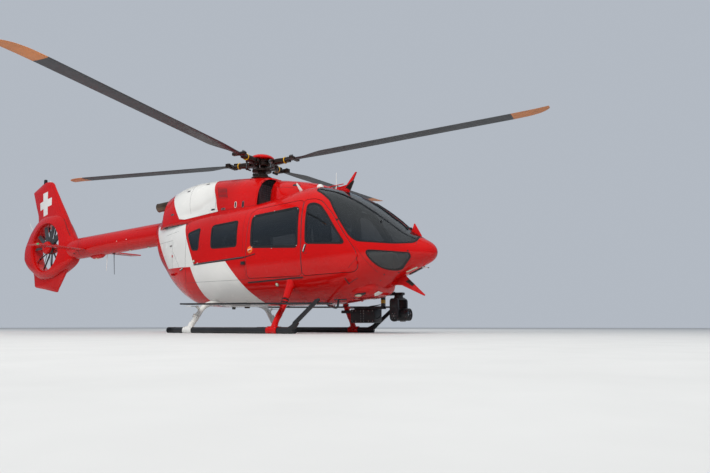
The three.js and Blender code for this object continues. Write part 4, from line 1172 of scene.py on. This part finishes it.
# Sensor box and arm
p = Piece("sensor_frame", slot="black_alloy")
p.block((1670, 620, 186), (2190, 880, 425), "black", 12)
p.block((1676, 626, 178), (2184, 874, 190), "ash", 4)
for x0, x1 in ((1686, 1920), (1940, 2174)):
    for y in (618, 880):
        p.block((x0, y, 196), (x1, y + 2, 408), "black", 4)
for x in (1712, 1790, 1900, 1960, 2060, 2150):
    for z in (210, 256, 302, 348, 394):
        if z in (210, 394) or x in (1900, 1960):
            for y, out in ((618, -1), (882, 1)):
                p.turned([(0, 0), (8, 0), (7, 4), (0, 5)], "bright", (x, y, z), (0, out, 0), 8)
p.block((1730, 655, 423), (2352, 760, 475), "black", 6)
p.block((1296, 880, 362), (1456, 1112, 418), "black", 8)
p.block((1296, 870, 364), (1730, 950, 416), "black", 8)
p.block((2300, 658, 425), (2352, 742, 685), "black", 6)
p.block((2300, 650, 660), (2745, 750, 710), "black", 14)
for x in (2360, 2470, 2640, 2700):
    p.block((x, 646, 666), (x + 26, 754, 704), "steel", 3)
for x0, x1 in ((2303, 2322), (2330, 2349)):
    p.block((x0, 655.5, 528), (x1, 744.5, 586), "yellow", 1)
p.block((2297.5, 664, 528), (2354.5, 736, 586), "yellow", 1)
p.hose([(2330, 640, 690), (2420, 632, 712), (2540, 636, 700), (2600, 650, 716)], 9, "rubber")
p.hose([(2190, 700, 260), (2240, 690, 270), (2280, 690, 330), (2292, 690, 480), (2310, 676, 640)], 8,
       "rubber")
p.hose([(1980, 640, 428), (2080, 628, 470), (2200, 650, 486), (2290, 664, 500)], 9, "rubber")
p.done("sensor_mount")

# Turret, drawn from its upright axis: the fork that pans, then the barrel that tilts in it
TURRET_X, TURRET_Y, TILT_Z = 2660, 668, 320
EAR_IN, EAR_OUT, EAR_HALF, CAP_Z = 135, 181, 82, TILT_Z - 24
p = Piece("sensor_fork", "sensor_pan", "black_alloy")
p.turn = Matrix.Translation((TURRET_X, TURRET_Y, 0))
p.turned([(0, 596), (78, 596), (84, 602), (84, 622), (76, 630), (76, 650), (80, 654), (80, 659.5),
          (0, 659.5)], "black", sides=56)
ear = [(EAR_HALF * c, 282 + EAR_HALF * s) for c, s in arc(math.pi, math.pi, 24)]
ear += rounded([(EAR_HALF, 500), (EAR_HALF, 602), (-EAR_HALF, 602), (-EAR_HALF, 500)], 60, 6)[7:-7]
for side in (-1, 1):
    out, y, cap_y = (0, side, 0), side * EAR_OUT, side * (EAR_OUT + 8)
    p.prism(ear, side * EAR_IN, y, "black", 9)
    p.turned([(0, 0), (62, 0), (66, 4), (62, 8), (30, 9), (0, 9)], "black", (0, y, CAP_Z), out, 48)
    p.turned([(0, 0), (16, 0), (16, 3), (0, 4)], "ash", (0, cap_y, CAP_Z), out, 24)
    for c, s in circle(6):
        p.turned([(0, 0), (6, 0), (5, 4), (0, 4)], "bright", (48 * c, cap_y, CAP_Z + 48 * s), out, 6)
    p.block((-44, y, 440), (44, y + side * 5, 556), "black", 2)
p.block((-70, -140, 580), (70, 140, 604), "black", 6)
p.turned([(0, 0), (26, 0), (26, 16), (20, 22), (0, 24)], "ash", (8, 158, 601), sides=28)
p.done("sensor_yoke")

p = Piece("sensor_camera", "sensor_head", "black_alloy")
p.turn = Matrix.Translation((TURRET_X, TURRET_Y, TILT_Z))
p.turned([(0, -145), (62, -144), (82, -139), (98, -126), (108, -104), (108, -70), (105, -67), (105, -61),
          (108, -58), (108, 150), (104, 154), (104, 160), (108, 164), (108, 210), (105, 217), (100, 219.5),
          (92, 219.5), (90, 214), (90, 208), (0, 208)], "black", axis=X, sides=64)
for y, z, r in ((-34, 18, 46), (44, 30, 30), (42, -34, 24), (-18, -58, 18)):
    rim = [(0, 0), (r, 0), (r, 8), (r - 4, 10), (r - 7, 8), (r - 7, 3), (0, 3)]
    p.turned(rim, "steel", (207, y, z), X, 40)
    p.turned([(0, 3), (r - 7, 3), (r * 0.6, 6), (0, 7)], "optic", (207, y, z), X, 40)
p.tube([(0, -134.6, 0), (0, 134.6, 0)], 45, "black", 36)
p.block((40, -35, -122), (120, 35, -96), "ash", 5)
for c, s in circle(8, math.pi / 8):
    p.turned([(0, 0), (5, 0), (4, 3), (0, 3)], "bright", (185, 107 * c, 107 * s), (0, c, s), 6)
p.done("sensor_barrel")


# Fittings: small shapes that stand on the skins
def stadium(length, width):
    """Outline of a slot with round ends."""
    radius, reach = width / 2, (length - width) / 2
    return [(end * reach + radius * c, radius * s)
            for end in (1, -1) for c, s in arc(-end * QUARTER, math.pi, 8)]


def plate(p, length, width, height, key):
    p.prism(stadium(length, width), -5, height, key, min(height, width) * 0.3, flat=True)


def disc(p, r, height, key, sides=28):
    p.turned([(0, -6), (r, -6), (r, height * 0.7), (r * 0.9, height), (0, height)], key, sides=sides)


def latch(p, length, width):
    plate(p, length, width, 1.6, "bright")
    plate(p, length * 0.55, width * 0.5, 3.2, "steel")


def handle(p, length, key):
    plate(p, length * 1.3, length * 0.4, 1.6, "black")
    grip = [(length / 2 * along, 0, z) for along, z in ((-1, -2), (-0.88, 11), (0, 15), (0.88, 11), (1, -2))]
    p.hose(grip, 6.5, key, 14, 5)


def dome_lamp(p, r, height, key):
    p.turned([(0, -8), (r * 1.3, -8), (r * 1.3, 2), (r * 1.1, 4), (0, 4)], "black", sides=28)
    dome = [(r * c, 3 + height * s) for c, s in arc(0.0, QUARTER, 8)[:-1]]
    p.turned(dome + [(0, 3 + height)], key, sides=28)


def ribbon(p, found, width, height, key):
    """Flat strip that follows a skin through places found on it."""
    found = [f for f in found if f]
    rings = []
    for i, (spot, normal) in enumerate(found):
        forward = (found[min(i + 1, len(found) - 1)][0] - found[max(i - 1, 0)][0]).normalized()
        across = forward.cross(normal).normalized() * width / 2
        corners = ((-1, -1.5), (1, -1.5), (0.8, height), (-0.8, height))
        rings.append([tuple(spot + across * out + normal * rise) for out, rise in corners])
    p.loft(rings, key)


def strip(p, skin, side, path, width, height=0.8, key="rubber"):
    """Strip along a path of the side view; by default a flat joint line."""
    ribbon(p, [skin.hit(x, z, side) for x, z in divided(path)], width, height, key)


def level_strip(p, skin, up, path, width, height=0.8, key="rubber"):
    ribbon(p, [skin.under(x, y, up) for x, y in divided(path)], width, height, key)


# Joint lines of fixed panels in the side view, then their width
SEAMS = [
    ([(-1593, 1552), (-1338, 1212)], 5),
    ([(-1146, 1178), (-1190, 980), (-1228, 824), (-1350, 780), (-1500, 766)], 5),
    ([(-1963, 1923), (-1473, 1967)], 5),
    ([(REAR_JOINT, 2300), (REAR_JOINT, 940)], 6),
    ([(2655, 1383), (2912, 975)], 5),
    ([(2509, 1041), (2691, 1223)], 5),
    ([(-1150, 935), (440, 935)], 5),
    ([(360, 2190), (360, 1420)], 4),
    ([(420, 1330), (420, 960), (1660, 925)], 4),
]
COWL_SEAMS = [
    [(-1519, 2214), (-1344, 2187), (-430, 2266), (430, 2300)],
    [(-1290, 2960), (-1250, 2600), (-1190, 2290)],
    [(-611, 2940), (-571, 2600), (-511, 2290)],
]
LATCH_AT = [(-1390, 2780), (-930, 2880), (-587, 2312), (-329, 2301), (-1750, 2330)]
PANEL = [(-558, 2753), (-325, 2712), (-242, 2505), (-457, 2526), (-558, 2753)]
# Strips and rails on the pod: path, width, height, material
RAILS = [
    ([(-885, 1265), (399, 1327)], 34, 6, "black"),
    ([(-880, 1270), (394, 1332)], 9, 9, "bright"),
    ([(399, 1327), (664, 1372)], 18, 5, "black"),
    ([(448, 880), (1665, 925)], 26, 8, "black"),
]
# Lamps, caps and buttons on the pod: x, z, radius, height, material
BUTTONS = [
    (-888, 1330, 24, 16, "lens"), (-780, 1282, 15, 8, "white"), (1084, 825, 30, 10, "lens"),
    (-1255, 2082, 17, 4, "black"), (2333, 1839, 18, 5, "black"), (3396, 1299, 12, 5, "black"),
    (2967, 945, 12, 5, "black"), (3144, 978, 12, 5, "black"), (2962, 1794, 16, 22, "black"),
]
PANE_SCREWS = [(588, 2056), (588, 1494), (1560, 2086), (1570, 1454), (1038, 2101), (1038, 1444)]
# Hinges: body, x, y, heights, how far the leaves reach inwards
HINGES = [("front_door", 2677, 722, (1120, 1235), 56), ("clamshell", -1626, 744, (1120, 1480), 78)]
KNUCKLES = (((-22, -8.5), (8.5, 22)), ((-8, 8),))


def hinges(side, label):
    """Hinge barrels: the outer knuckles are the frame's, the middle one is the door's."""
    for name, x, y, heights, reach in HINGES:
        fixed = Piece(f"{name}_hinge_{label}", slot="red_steel")
        moving = Piece(f"{name}_hinge_leaf_{label}", body_on(name, label), "red_steel")
        for z in heights:
            for part, spans, lean in zip((fixed, moving), KNUCKLES, (5, -5)):
                for low, high in spans:
                    barrel = [(0, low), (8.4, low), (9, low + 0.6), (9, high - 0.6), (8.4, high), (0, high)]
                    part.turned(barrel, "red", (x, side * y, z), sides=24)
                    root = (x + lean - 3, side * (y - reach), z + low)
                    part.block(root, (x + lean + 3, side * y, z + high), "red", 1)
        fixed.done()
        moving.done()


for side, label in RIGHT_LEFT:
    p = Piece(f"pod_seams_{label}", slot="black_plastic")
    for path, width in SEAMS:
        strip(p, POD_SKIN, side, path, width)
    p.done()

    p = Piece(f"cowl_fittings_{label}", slot="black_plastic")
    strip(p, COWL_SKIN, side, PANEL, 6, 1.0)
    for k in range(1, 8):
        ends = [tuple(a + (b - a) * k / 8 for a, b in zip(PANEL[i], PANEL[j])) for i, j in ((0, 3), (1, 2))]
        strip(p, COWL_SKIN, side, ends, 12, 2.0, "black")
    for path in COWL_SEAMS:
        strip(p, COWL_SKIN, side, path, 5)
    for x, z in LATCH_AT:
        p.on(COWL_SKIN, x, z, side)
        latch(p, 104, 36)
    for x, z, rim in ((-34, 2354, "white"), (143, 2346, "bright")):
        p.on(COWL_SKIN, x, z, side, QUARTER)
        plate(p, 124, 50, 2, rim)
        plate(p, 104, 32, 3.5, "black")
        p.block((-30, -5, 0), (30, 5, 6), "steel", 1.5)
    p.done()

    p = Piece(f"pod_fittings_{label}", slot="black_plastic")
    for row in RAILS:
        strip(p, POD_SKIN, side, *row)
    p.on(POD_SKIN, -1280, 1202, side, 0.35)
    handle(p, 90, "white")
    p.on(POD_SKIN, 538, 1450, side)
    disc(p, 60, 5, "orange", 40)
    p.hose([(-34, -10, 2), (-26, -8, 20), (0, 0, 26), (26, 8, 20), (34, 10, 2)], 9, "white", 16, 5)
    p.on(POD_SKIN, 384, 1225, side)
    p.block((-42, -24, -4), (42, 24, 22), "black", 5)
    for x, z, *row in BUTTONS:
        p.on(POD_SKIN, x, z, side)
        (dome_lamp if "lens" in row else disc)(p, *row)
    for x, z in PANE_SCREWS:
        p.on(POD_SKIN, x, z, side)
        disc(p, 7, 2.5, "white", 10)
    p.free()
    level_strip(p, POD_SKIN, 1, [(3230, side * 95), (3420, side * 75)], 42, 5, "lens")
    p.done()

    p = Piece(f"front_door_handle_{label}", body_on("front_door", label), "black_plastic")
    p.on(POD_SKIN, 1733, 1404, side, 1.2)
    handle(p, 112, "white")
    p.free()
    strip(p, POD_SKIN, side, smooth_path([(1712, 1338), (1728, 1318), (1756, 1310), (1782, 1322)], 3), 7, 1.2)
    p.done()
    p = Piece(f"clamshell_handle_{label}", body_on("clamshell", label), "black_plastic")
    p.on(POD_SKIN, -1706, 1691, side)
    handle(p, 60, "steel")
    p.done()
    hinges(side, label)

    # Wipers on the windshield, beside the centre post
    p = Piece(f"wiper_{label}", slot="black_plastic")
    level_strip(p, POD_SKIN, -1, [(3240, side * 62), (2620, side * 78)], 16, 14, "black")
    level_strip(p, POD_SKIN, -1, [(3080, side * 112), (2560, side * 96)], 9, 12)
    p.over(POD_SKIN, 3240, side * 62, -1, side=side)
    disc(p, 26, 30, "black")
    p.done()

    p = Piece(f"tip_lamp_{label}", slot="black_plastic")
    p.turned([(15, -40), (17, -30), (17, 20), (12, 36), (0, 42)], "green_lens" if side < 0 else "red_lens",
             (-5310, side * 1355, STABILISER_Z), X, 24)
    p.done()

# Wire cutters, the fin on the centre post and the rods near them
p = Piece("roof_cutter", slot="red_composite")
p.prism([(1700, 2500), (2060, 2440), (2060, 2520), (2214, 2811), (2185, 2815), (2010, 2600), (1700, 2570)],
        -13, 13, "red", 5)
p.prism([(1985, 2560), (2075, 2500), (2150, 2650), (2140, 2672)], -15.5, 15.5, "steel", 1)
p.tube([(1587, 0, 2612), (1929, 0, 2631)], 9, "red", 14)
p.turned([(0, 2560), (24, 2560), (24, 2572), (9, 2582), (7, 2700), (4, 2853), (0, 2855)], "white",
         (1776, 0, 0), sides=16)
p.done()
p = Piece("belly_cutter", slot="hull_alloy")
p.prism([(2850, 900), (3140, 980), (3200, 900), (3517, 617), (3500, 600), (3100, 790), (2850, 800)], -13, 13,
        "red", 5)
p.prism([(3170, 842), (3225, 880), (3330, 790), (3290, 760)], -15.5, 15.5, "steel", 1)
p.done()
p = Piece("nose_fin", slot="red_composite")
p.prism([(3270, 1600), (3465, 1500), (3470, 1580), (3352, 1785), (3336, 1790)], -8, 8, "red", 4)
p.done()

# Landing lamps under the nose: pale glass in a black rim that narrows forwards
p = Piece("landing_lamps", slot="hull_alloy")
for x, y, lean in ((2488, -372, 0.12), (2420, 320, -0.12)):
    p.over(BELLY_SKIN, x, y, 1, lean)
    rim = [(78 * c, 50 * s) for c, s in arc(math.pi * 0.35, math.pi * 1.3, 36)]
    rim = rounded(rim + [(60, -36), (140, -12), (146, 0), (140, 12), (60, 36)], 12, 2)
    p.prism(rim, -45, 5, "black", 3, flat=True)
    p.prism([(62 * c - 6, 38 * s) for c, s in circle(40)], -10, 9, "lens", 3, flat=True)
p.done()

# Roof: intake screen, vents, aerials and lamps
p = Piece("roof_fittings", slot="black_plastic")
for side in (-1, 1):
    for k in range(9):
        z = 2480 + 42 * k
        p.tube([(437, side * 150, z), (437, side * (500 - 10 * k), z)], 4, "black", 8)
    for k in range(8):
        y = side * (170 + 45 * k)
        p.tube([(437, y, 2440), (437, y, 2850 - 12 * k)], 4, "black", 8)
    level_strip(p, DECK_SKIN, -1, [(1110, side * 400), (1260, side * 390)], 60, 3, "black")
    strip(p, DECK_SKIN, side, [(1700, 2420), (1250, 2560), (700, 2640)], 5)
p.over(POD_SKIN, 1350, -470, -1)
p.prism([(-32, 0), (30, 0), (-36, 150), (-66, 150)], -6, 6, "white", 3)
p.free()
p.turned([(0, -10), (62, -10), (62, 4), (56, 24), (38, 44), (14, 54), (0, 56)], "white",
         POD_SKIN.under(1660, -330, -1)[0])
p.turned([(0, -10), (30, -10), (30, 4), (24, 20), (0, 30)], "lens",
         POD_SKIN.under(1676, 330, -1)[0], sides=24)
p.done()

# Belly: skid plates, strips, drains and the lamp that warns of a crash
p = Piece("belly_fittings", slot="black_plastic")
for path in ([(-271, -483), (148, -479)], [(-400, -327), (80, -327)], [(-271, 483), (148, 479)]):
    level_strip(p, POD_SKIN, 1, path, 26, 4, "black")
for path, width in (([(900, -300), (900, 300)], 6), ([(-1200, 0), (1850, 0)], 5),
                    ([(200, -560), (200, 560)], 5), ([(-700, -520), (-700, 520)], 5)):
    level_strip(p, POD_SKIN, 1, path, width)
for x, y, *row in ((-686, 37, 34, 40, "black"), (-286, -15, 52, 24, "steel"), (-352, -508, 26, 42, "white"),
                   (1070, 700, 52, 14, "lens"), (2100, 350, 20, 20, "red"), (620, 120, 22, 10, "black")):
    p.over(POD_SKIN, x, y)
    disc(p, *row)
for x, y in ((2258, -120), (2735, -190)):
    p.over(BELLY_SKIN, x, y)
    outline = rounded([(-78, -34), (-20, -84), (62, -84), (62, 64), (-20, 64)], 10)
    p.prism(outline, -3, 2.5, "white", 0.8, flat=True)
p.free()
LAMP, LAMP_AXIS = (1300, 600, 530), (0.8, -0.5, -0.2)
p.turned([(0, -58), (26, -56), (44, -38), (50, -8), (50, 10), (46, 14), (0, 14)], "black", LAMP, LAMP_AXIS,
         40)
p.turned([(0, 13), (43, 13), (34, 19), (0, 22)], "white", LAMP, LAMP_AXIS, 40)
p.tube([(1262, 622, 540), (1250, 630, 640), (1250, 636, 740)], [13, 15, 22], "red")
p.done()

# Nose: lamp strip and probe underneath, screws, and the notch ahead of the door's lower corner, drawn as a
# dark V of painted shade
p = Piece("nose_fittings", slot="black_plastic")
for width, height, key in ((104, 16, "rubber"), (88, 19, "white")):
    level_strip(p, POD_SKIN, 1, [(3196, 110), (3330, 96), (3452, 78)], width, height, key)
p.tube([(3440, 20, 1078), (3520, 6, 1058), (3572, 0, 1050)], [14, 9, 7], "white")
p.tube([(3570, 0, 1050), (3590, 0, 1048)], 8, "black")
for side in (-1, 1):
    for x, z in ((2963, 943), (3391, 1302), (2872, 850)):
        p.on(POD_SKIN, x, z, side)
        disc(p, 10, 1.5, "rubber")
    p.free()
    # The notch is not cut: two dark strips in a V paint its shadow
    strip(p, POD_SKIN, side, [(2412, 891), (2441, 793)], 26)
    strip(p, POD_SKIN, side, [(2436, 800), (2610, 888)], 12)
p.done()

# Boom and tail: joint rings, lamps, aerials
BOOM_SKIN = Skin(solid(lambda p: p.loft([boom_ring(x) for x in stations(-2800, BOOM_END, 40)], "red")))
p = Piece("boom_fittings", slot="black_plastic")
for x in (-2770, -5600):
    hoop = [boom_ring(x + dx, grow) for dx, grow in ((-3, 1.2), (3, 1.2), (3, -3), (-3, -3))]
    p.loft(hoop, "rubber", caps=False)
for x in (-3221, -3849):
    p.over(BOOM_SKIN, x, -40)
    dome_lamp(p, 24, 18, "lens")
for x, z in ((-4126, 2026), (-3784, 2040)):
    p.on(BOOM_SKIN, x, z)
    disc(p, 11, 3, "white")
p.free()
p.tube([(-4487, 0, 1830), (-4470, 0, 1640), (-4432, 0, 1299)], [10, 7, 5], "black", 12)
p.turned([(0, 1772), (30, 1778), (34, 1800), (34, 1830), (0, 1830)], "black", (-4487, 0, 0), sides=24)
p.tube([(-4733, 0, 1800), (-4731, 0, 1392)], [9, 6], "white", 12)
p.turned([(0, 1690), (34, 1694), (42, 1706), (42, 1740), (0, 1740)], "lens", (-5105, 0, 0), sides=28)
for x, r, top, key in ((-7512, 42, 3929, "black"), (-7277, 18, 3862, "white")):
    p.turned([(0, 3800), (r * 0.9, 3800), (r, 3812), (r, top - 26), (r * 0.86, top - 8), (r * 0.5, top),
              (0, top)], key, (x, 0, 0), sides=28)
p.tube([(-8107, 0, 2811), (-8042, 0, 2716), (-7900, 0, 2560)], [5, 6, 7], "white", 12)
for side in (-1, 1):
    strip(p, TAIL_SKIN, side, [(-7180, 3780), (-6640, 2990)], 4)
    # The wide dark strip behind the fin's leading edge is its groove, widened to take in the groove's shade:
    # partly a real joint, partly painted shade
    strip(p, TAIL_SKIN, side, [(-6470, 2790), (-6110, 2320)], 14)
p.turned([(0, -6), (17, -6), (17, 3), (0, 4)], "black", (-5741, -200, 1850), (0, -1, 0), 20)
p.done()

# Cabin: seats, bench and instrument panel
# Pads before they swell, crown upwards: length, width and height in millimetres, channels sewn across
PADS = {
    "seat_cushion": (396, 394, 124, (-0.35, 0.35)),
    "seat_back": (549, 348, 82, (-0.4, 0.1, 0.5)),
    "head_rest": (144, 194, 64, ()),
    "bench_cushion": (476, 368, 164, (-0.35, 0.35)),
    "bench_back": (499, 368, 102, (-0.4, 0.1, 0.5)),
}
# The pads in metres: rounding, mesh width, crown, how far the sides are pulled in as a share
PAD_EDGE, PAD_MESH, PAD_CROWN, PAD_WAIST = 0.024, 0.006, 0.012, 0.03
SWELLING = 0.011
SWELLING_PRESSURE = 4
SWELLING_FRAMES = 20
# Channels: depth in metres, width as a share of half the pad's length. Side seams: both in metres
CHANNEL_DEPTH, CHANNEL_WIDTH = 0.007, 0.035
SEAM_DEPTH, SEAM_WIDTH = 0.003, 0.005
KEPT_FACES = 0.4
SEAT_LEAN = math.radians(7.4)
FLOOR_TOP = 936


def pad_start(length, width, height):
    """Evenly meshed block with rounded edges, slightly crowned, its sides pulled in between the corners."""
    bm = bmesh.new()
    bmesh.ops.create_cube(bm, size=1, matrix=Matrix.Diagonal((length / MM, width / MM, height / MM, 1)))
    bmesh.ops.bevel(bm, geom=bm.edges[:], offset=PAD_EDGE, segments=4, affect="EDGES", profile=0.5)
    mesh = bpy.data.meshes.new("pad")
    bm.to_mesh(mesh)
    bm.free()
    thing = bpy.data.objects.new("pad", mesh)
    SCENE.collection.objects.link(thing)
    even = thing.modifiers.new("even", "REMESH")
    even.mode = "VOXEL"
    even.voxel_size = PAD_MESH
    for vert in evaluated(thing).vertices:
        u, v = vert.co.x / length * 2 * MM, vert.co.y / width * 2 * MM
        vert.co.z += PAD_CROWN * max(0, 1 - u * u) * max(0, 1 - v * v) * (vert.co.z > 0)
        vert.co.x *= 1 - PAD_WAIST * max(0, 1 - v * v)
        vert.co.y *= 1 - PAD_WAIST * max(0, 1 - u * u)
    return thing


def swollen(things):
    """Blow the pads up together as cloth and cap how far each point moves."""
    starts = [[v.co.copy() for v in thing.data.vertices] for thing in things]
    for thing in things:
        cloth = thing.modifiers.new("cloth", "CLOTH")
        cloth.settings.use_pressure = True
        cloth.settings.uniform_pressure_force = SWELLING_PRESSURE
        cloth.settings.effector_weights.gravity = 0
        cloth.point_cache.frame_start = 1
        cloth.point_cache.frame_end = SWELLING_FRAMES
    for moment in range(1, SWELLING_FRAMES + 1):
        SCENE.frame_set(moment)
    for thing, start in zip(things, starts):
        for vert, at in zip(evaluated(thing).vertices, start):
            move = vert.co - at
            vert.co = at + move * min(1, SWELLING / max(move.length, 1e-9))
    SCENE.frame_set(1)


def sewn(thing, length, width, height, channels):
    """Channels across the crown, a seam around the sides, and fewer faces where it is smooth."""
    for vert in thing.data.vertices:
        u = vert.co.x / length * 2 * MM
        out = vert.normal
        pressed = sum(math.exp(-((u - c) / CHANNEL_WIDTH) ** 2) for c in channels)
        depth = CHANNEL_DEPTH * pressed * max(0, out.z)
        above = (vert.co.z - height * 0.2 / MM) / SEAM_WIDTH
        depth += SEAM_DEPTH * math.exp(-above * above) * (1 - abs(out.z))
        vert.co -= out * depth
    thing.modifiers.new("thin", "DECIMATE").ratio = KEPT_FACES
    mesh = evaluated(thing)
    mesh.materials.append(M["fabric"])
    for face in mesh.polygons:
        face.use_smooth = True
    bpy.data.objects.remove(thing)
    return mesh


pads = {name: pad_start(*row[:3]) for name, row in PADS.items()}
swollen(list(pads.values()))
pads = {name: sewn(pads[name], *row) for name, row in PADS.items()}


def cushion(kind, label, centre, turn=0.0):
    """A pad in its place; turned about the crosswise axis, its crown faces forwards."""
    mesh = pads[kind].copy()
    mesh.transform(Matrix.Translation(place(*centre)) @ Matrix.Rotation(turn, 4, "Y"))
    show(mesh, f"{kind}_{label}", "airframe", "seat_fabric")


for side, label in RIGHT_LEFT:
    y = side * 400
    p = Piece(f"seat_frame_{label}", slot="seat_fabric")
    p.block((1860, y - 190, FLOOR_TOP), (2240, y + 190, 1040), "black", 10)
    p.block((1880, y - 170, 1040), (2220, y + 170, 1120), "steel", 14)
    cheek = rounded([(1700, 940), (1860, 940), (1880, 1265), (1800, 1870), (1700, 1870), (1745, 1265)], 20)
    for dy in (-196, 184):
        p.prism(cheek, y + dy, y + dy + 12, "black", 3)
    for dy in (-60, 60):
        p.tube([(1730, y + dy, 1800), (1745, y + dy, 1960)], 8, "bright", 12)
    for dy in (-92, 92):
        p.hose([(1800, y + dy, 1700), (1885, y + dy * 0.9, 1600), (1915, y + dy * 0.7, 1420),
                (1985, y + dy * 0.5, 1285)], 7, "rubber", 10)
    p.done(f"seat_{label}")
    cushion("seat_cushion", label, (2066, y, 1190))
    cushion("seat_back", label, (1776, y, 1567), QUARTER - SEAT_LEAN)
    cushion("head_rest", label, (1738, y, 1975), QUARTER)
p = Piece("bench_frame", slot="seat_fabric")
p.block((-290, -590, FLOOR_TOP), (180, 590, 1080), "black", 10)
p.block((-418, -590, FLOOR_TOP), (-388, 590, 1790), "black", 8)
p.done("cabin_bench")
for i, y in enumerate((-400, 0, 400)):
    cushion("bench_cushion", i + 1, (-50, y, 1170))
    cushion("bench_back", i + 1, (-327, y, 1532), QUARTER)

p = Piece("panel_desk", slot="black_plastic")
p.prism(rounded([(2545, 940), (2685, 940), (2685, 1420), (2660, 1496), (2560, 1496), (2545, 1470)], 12), -426,
        426, "black", 6)
for y in (-300, -100, 100, 300):
    p.block((2536, y - 84, 1310), (2546, y + 84, 1462), "black", 4)
    p.block((2533.5, y - 72, 1324), (2537, y + 72, 1448), "glass", 2)
    for k in range(6):
        p.block((2532, y - 68 + 24 * k, 1313), (2537, y - 56 + 24 * k, 1320), "bright", 1)
p.block((2334, -108, FLOOR_TOP), (2545, 108, 1188), "black", 8)
for i in range(4):
    for j in range(3):
        p.block((2350 + 46 * i, -88 + 62 * j, 1186), (2388 + 46 * i, -38 + 62 * j, 1196), "inner", 3)
for side in (-1, 1):
    p.hose([(2440, side * 300, 940), (2420, side * 300, 1080), (2360, side * 330, 1200),
            (2345, side * 330, 1330)], 13, "black", 14)
    p.tube([(2345, side * 330, 1325), (2338, side * 330, 1440)], [19, 16], "rubber", 18)
p.done("instrument_panel")

p = Piece("cabin_floor_mat", slot="black_plastic")
p.prism([(262, -618), (1588, -618), (1588, 618), (262, 618)], 945.4, 949, "inner", flat=True)
p.done()
for material_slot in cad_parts["powerplant"].material_slots:
    material_slot.material = M["cast"]

# Camera, floor and light
floor_mesh = bpy.data.meshes.new("floor")
floor_mesh.from_pydata([(-40, -40, 0), (40, -40, 0), (40, 40, 0), (-40, 40, 0)], [], [(0, 1, 2, 3)])
floor_mesh.materials.append(surface("floor_finish", (0.62, 0.62, 0.61), 0.75, 8, 0.03, 0.02))
floor = bpy.data.objects.new("floor", floor_mesh)
SCENE.collection.objects.link(floor)


def aimed(name, data, at, aim):
    """Camera or light at a place, pointing at another."""
    thing = bpy.data.objects.new(name, data)
    SCENE.collection.objects.link(thing)
    thing.location = at
    thing.rotation_euler = (Vector(aim) - Vector(at)).to_track_quat("-Z", "Y").to_euler()
    return thing


def area_light(name, at, aim, size, power, colour=(1, 1, 1)):
    data = bpy.data.lights.new(name, "AREA")
    data.shape = "RECTANGLE"
    data.size, data.size_y = size
    data.energy = power
    data.color = colour
    aimed(name, data, at, aim).visible_glossy = False


area_light("key", (9, -9, 13), (1, 0, 1.5), (8, 8), 2000, (1.0, 0.97, 0.92))
area_light("side", (-8, -13, 8), (-1, 0, 1.6), (9, 6), 700)
area_light("back", (-4, 13, 10), (0, 0, 2), (10, 6), 600)
lens = bpy.data.cameras.new("camera")
lens.lens = 31.6
lens.clip_end = 200
SCENE.camera = aimed("camera", lens, (9.355, -9.0, 0.12), (3.138, 0.574, 1.763))

# What is mirrored sees a sky that brightens upwards; the camera and the floor see plain pale light
world = bpy.data.worlds.new("sky")
SCENE.world = world
sky = Nodes(world)
height = sky.new("SeparateXYZ", {0: sky.coordinates["Generated"]})["Z"]
mirrored_sky = sky.ramp(sky.scaled(height, 0.5, 0.5), (0.42, (0.16, 0.15, 0.15)), (0.50, (0.20, 0.23, 0.27)),
                        (0.62, (0.36, 0.46, 0.60)), (0.95, (0.90, 0.96, 1.0)))
glossy = sky.new("LightPath", {})["Is Glossy Ray"]
sky.feed(sky.tree.nodes["Background"], {"Strength": 0.56,
                                        "Color": sky.mix(glossy, (0.80, 0.87, 0.97, 1), mirrored_sky)})
SCENE.view_settings.view_transform = "Standard"
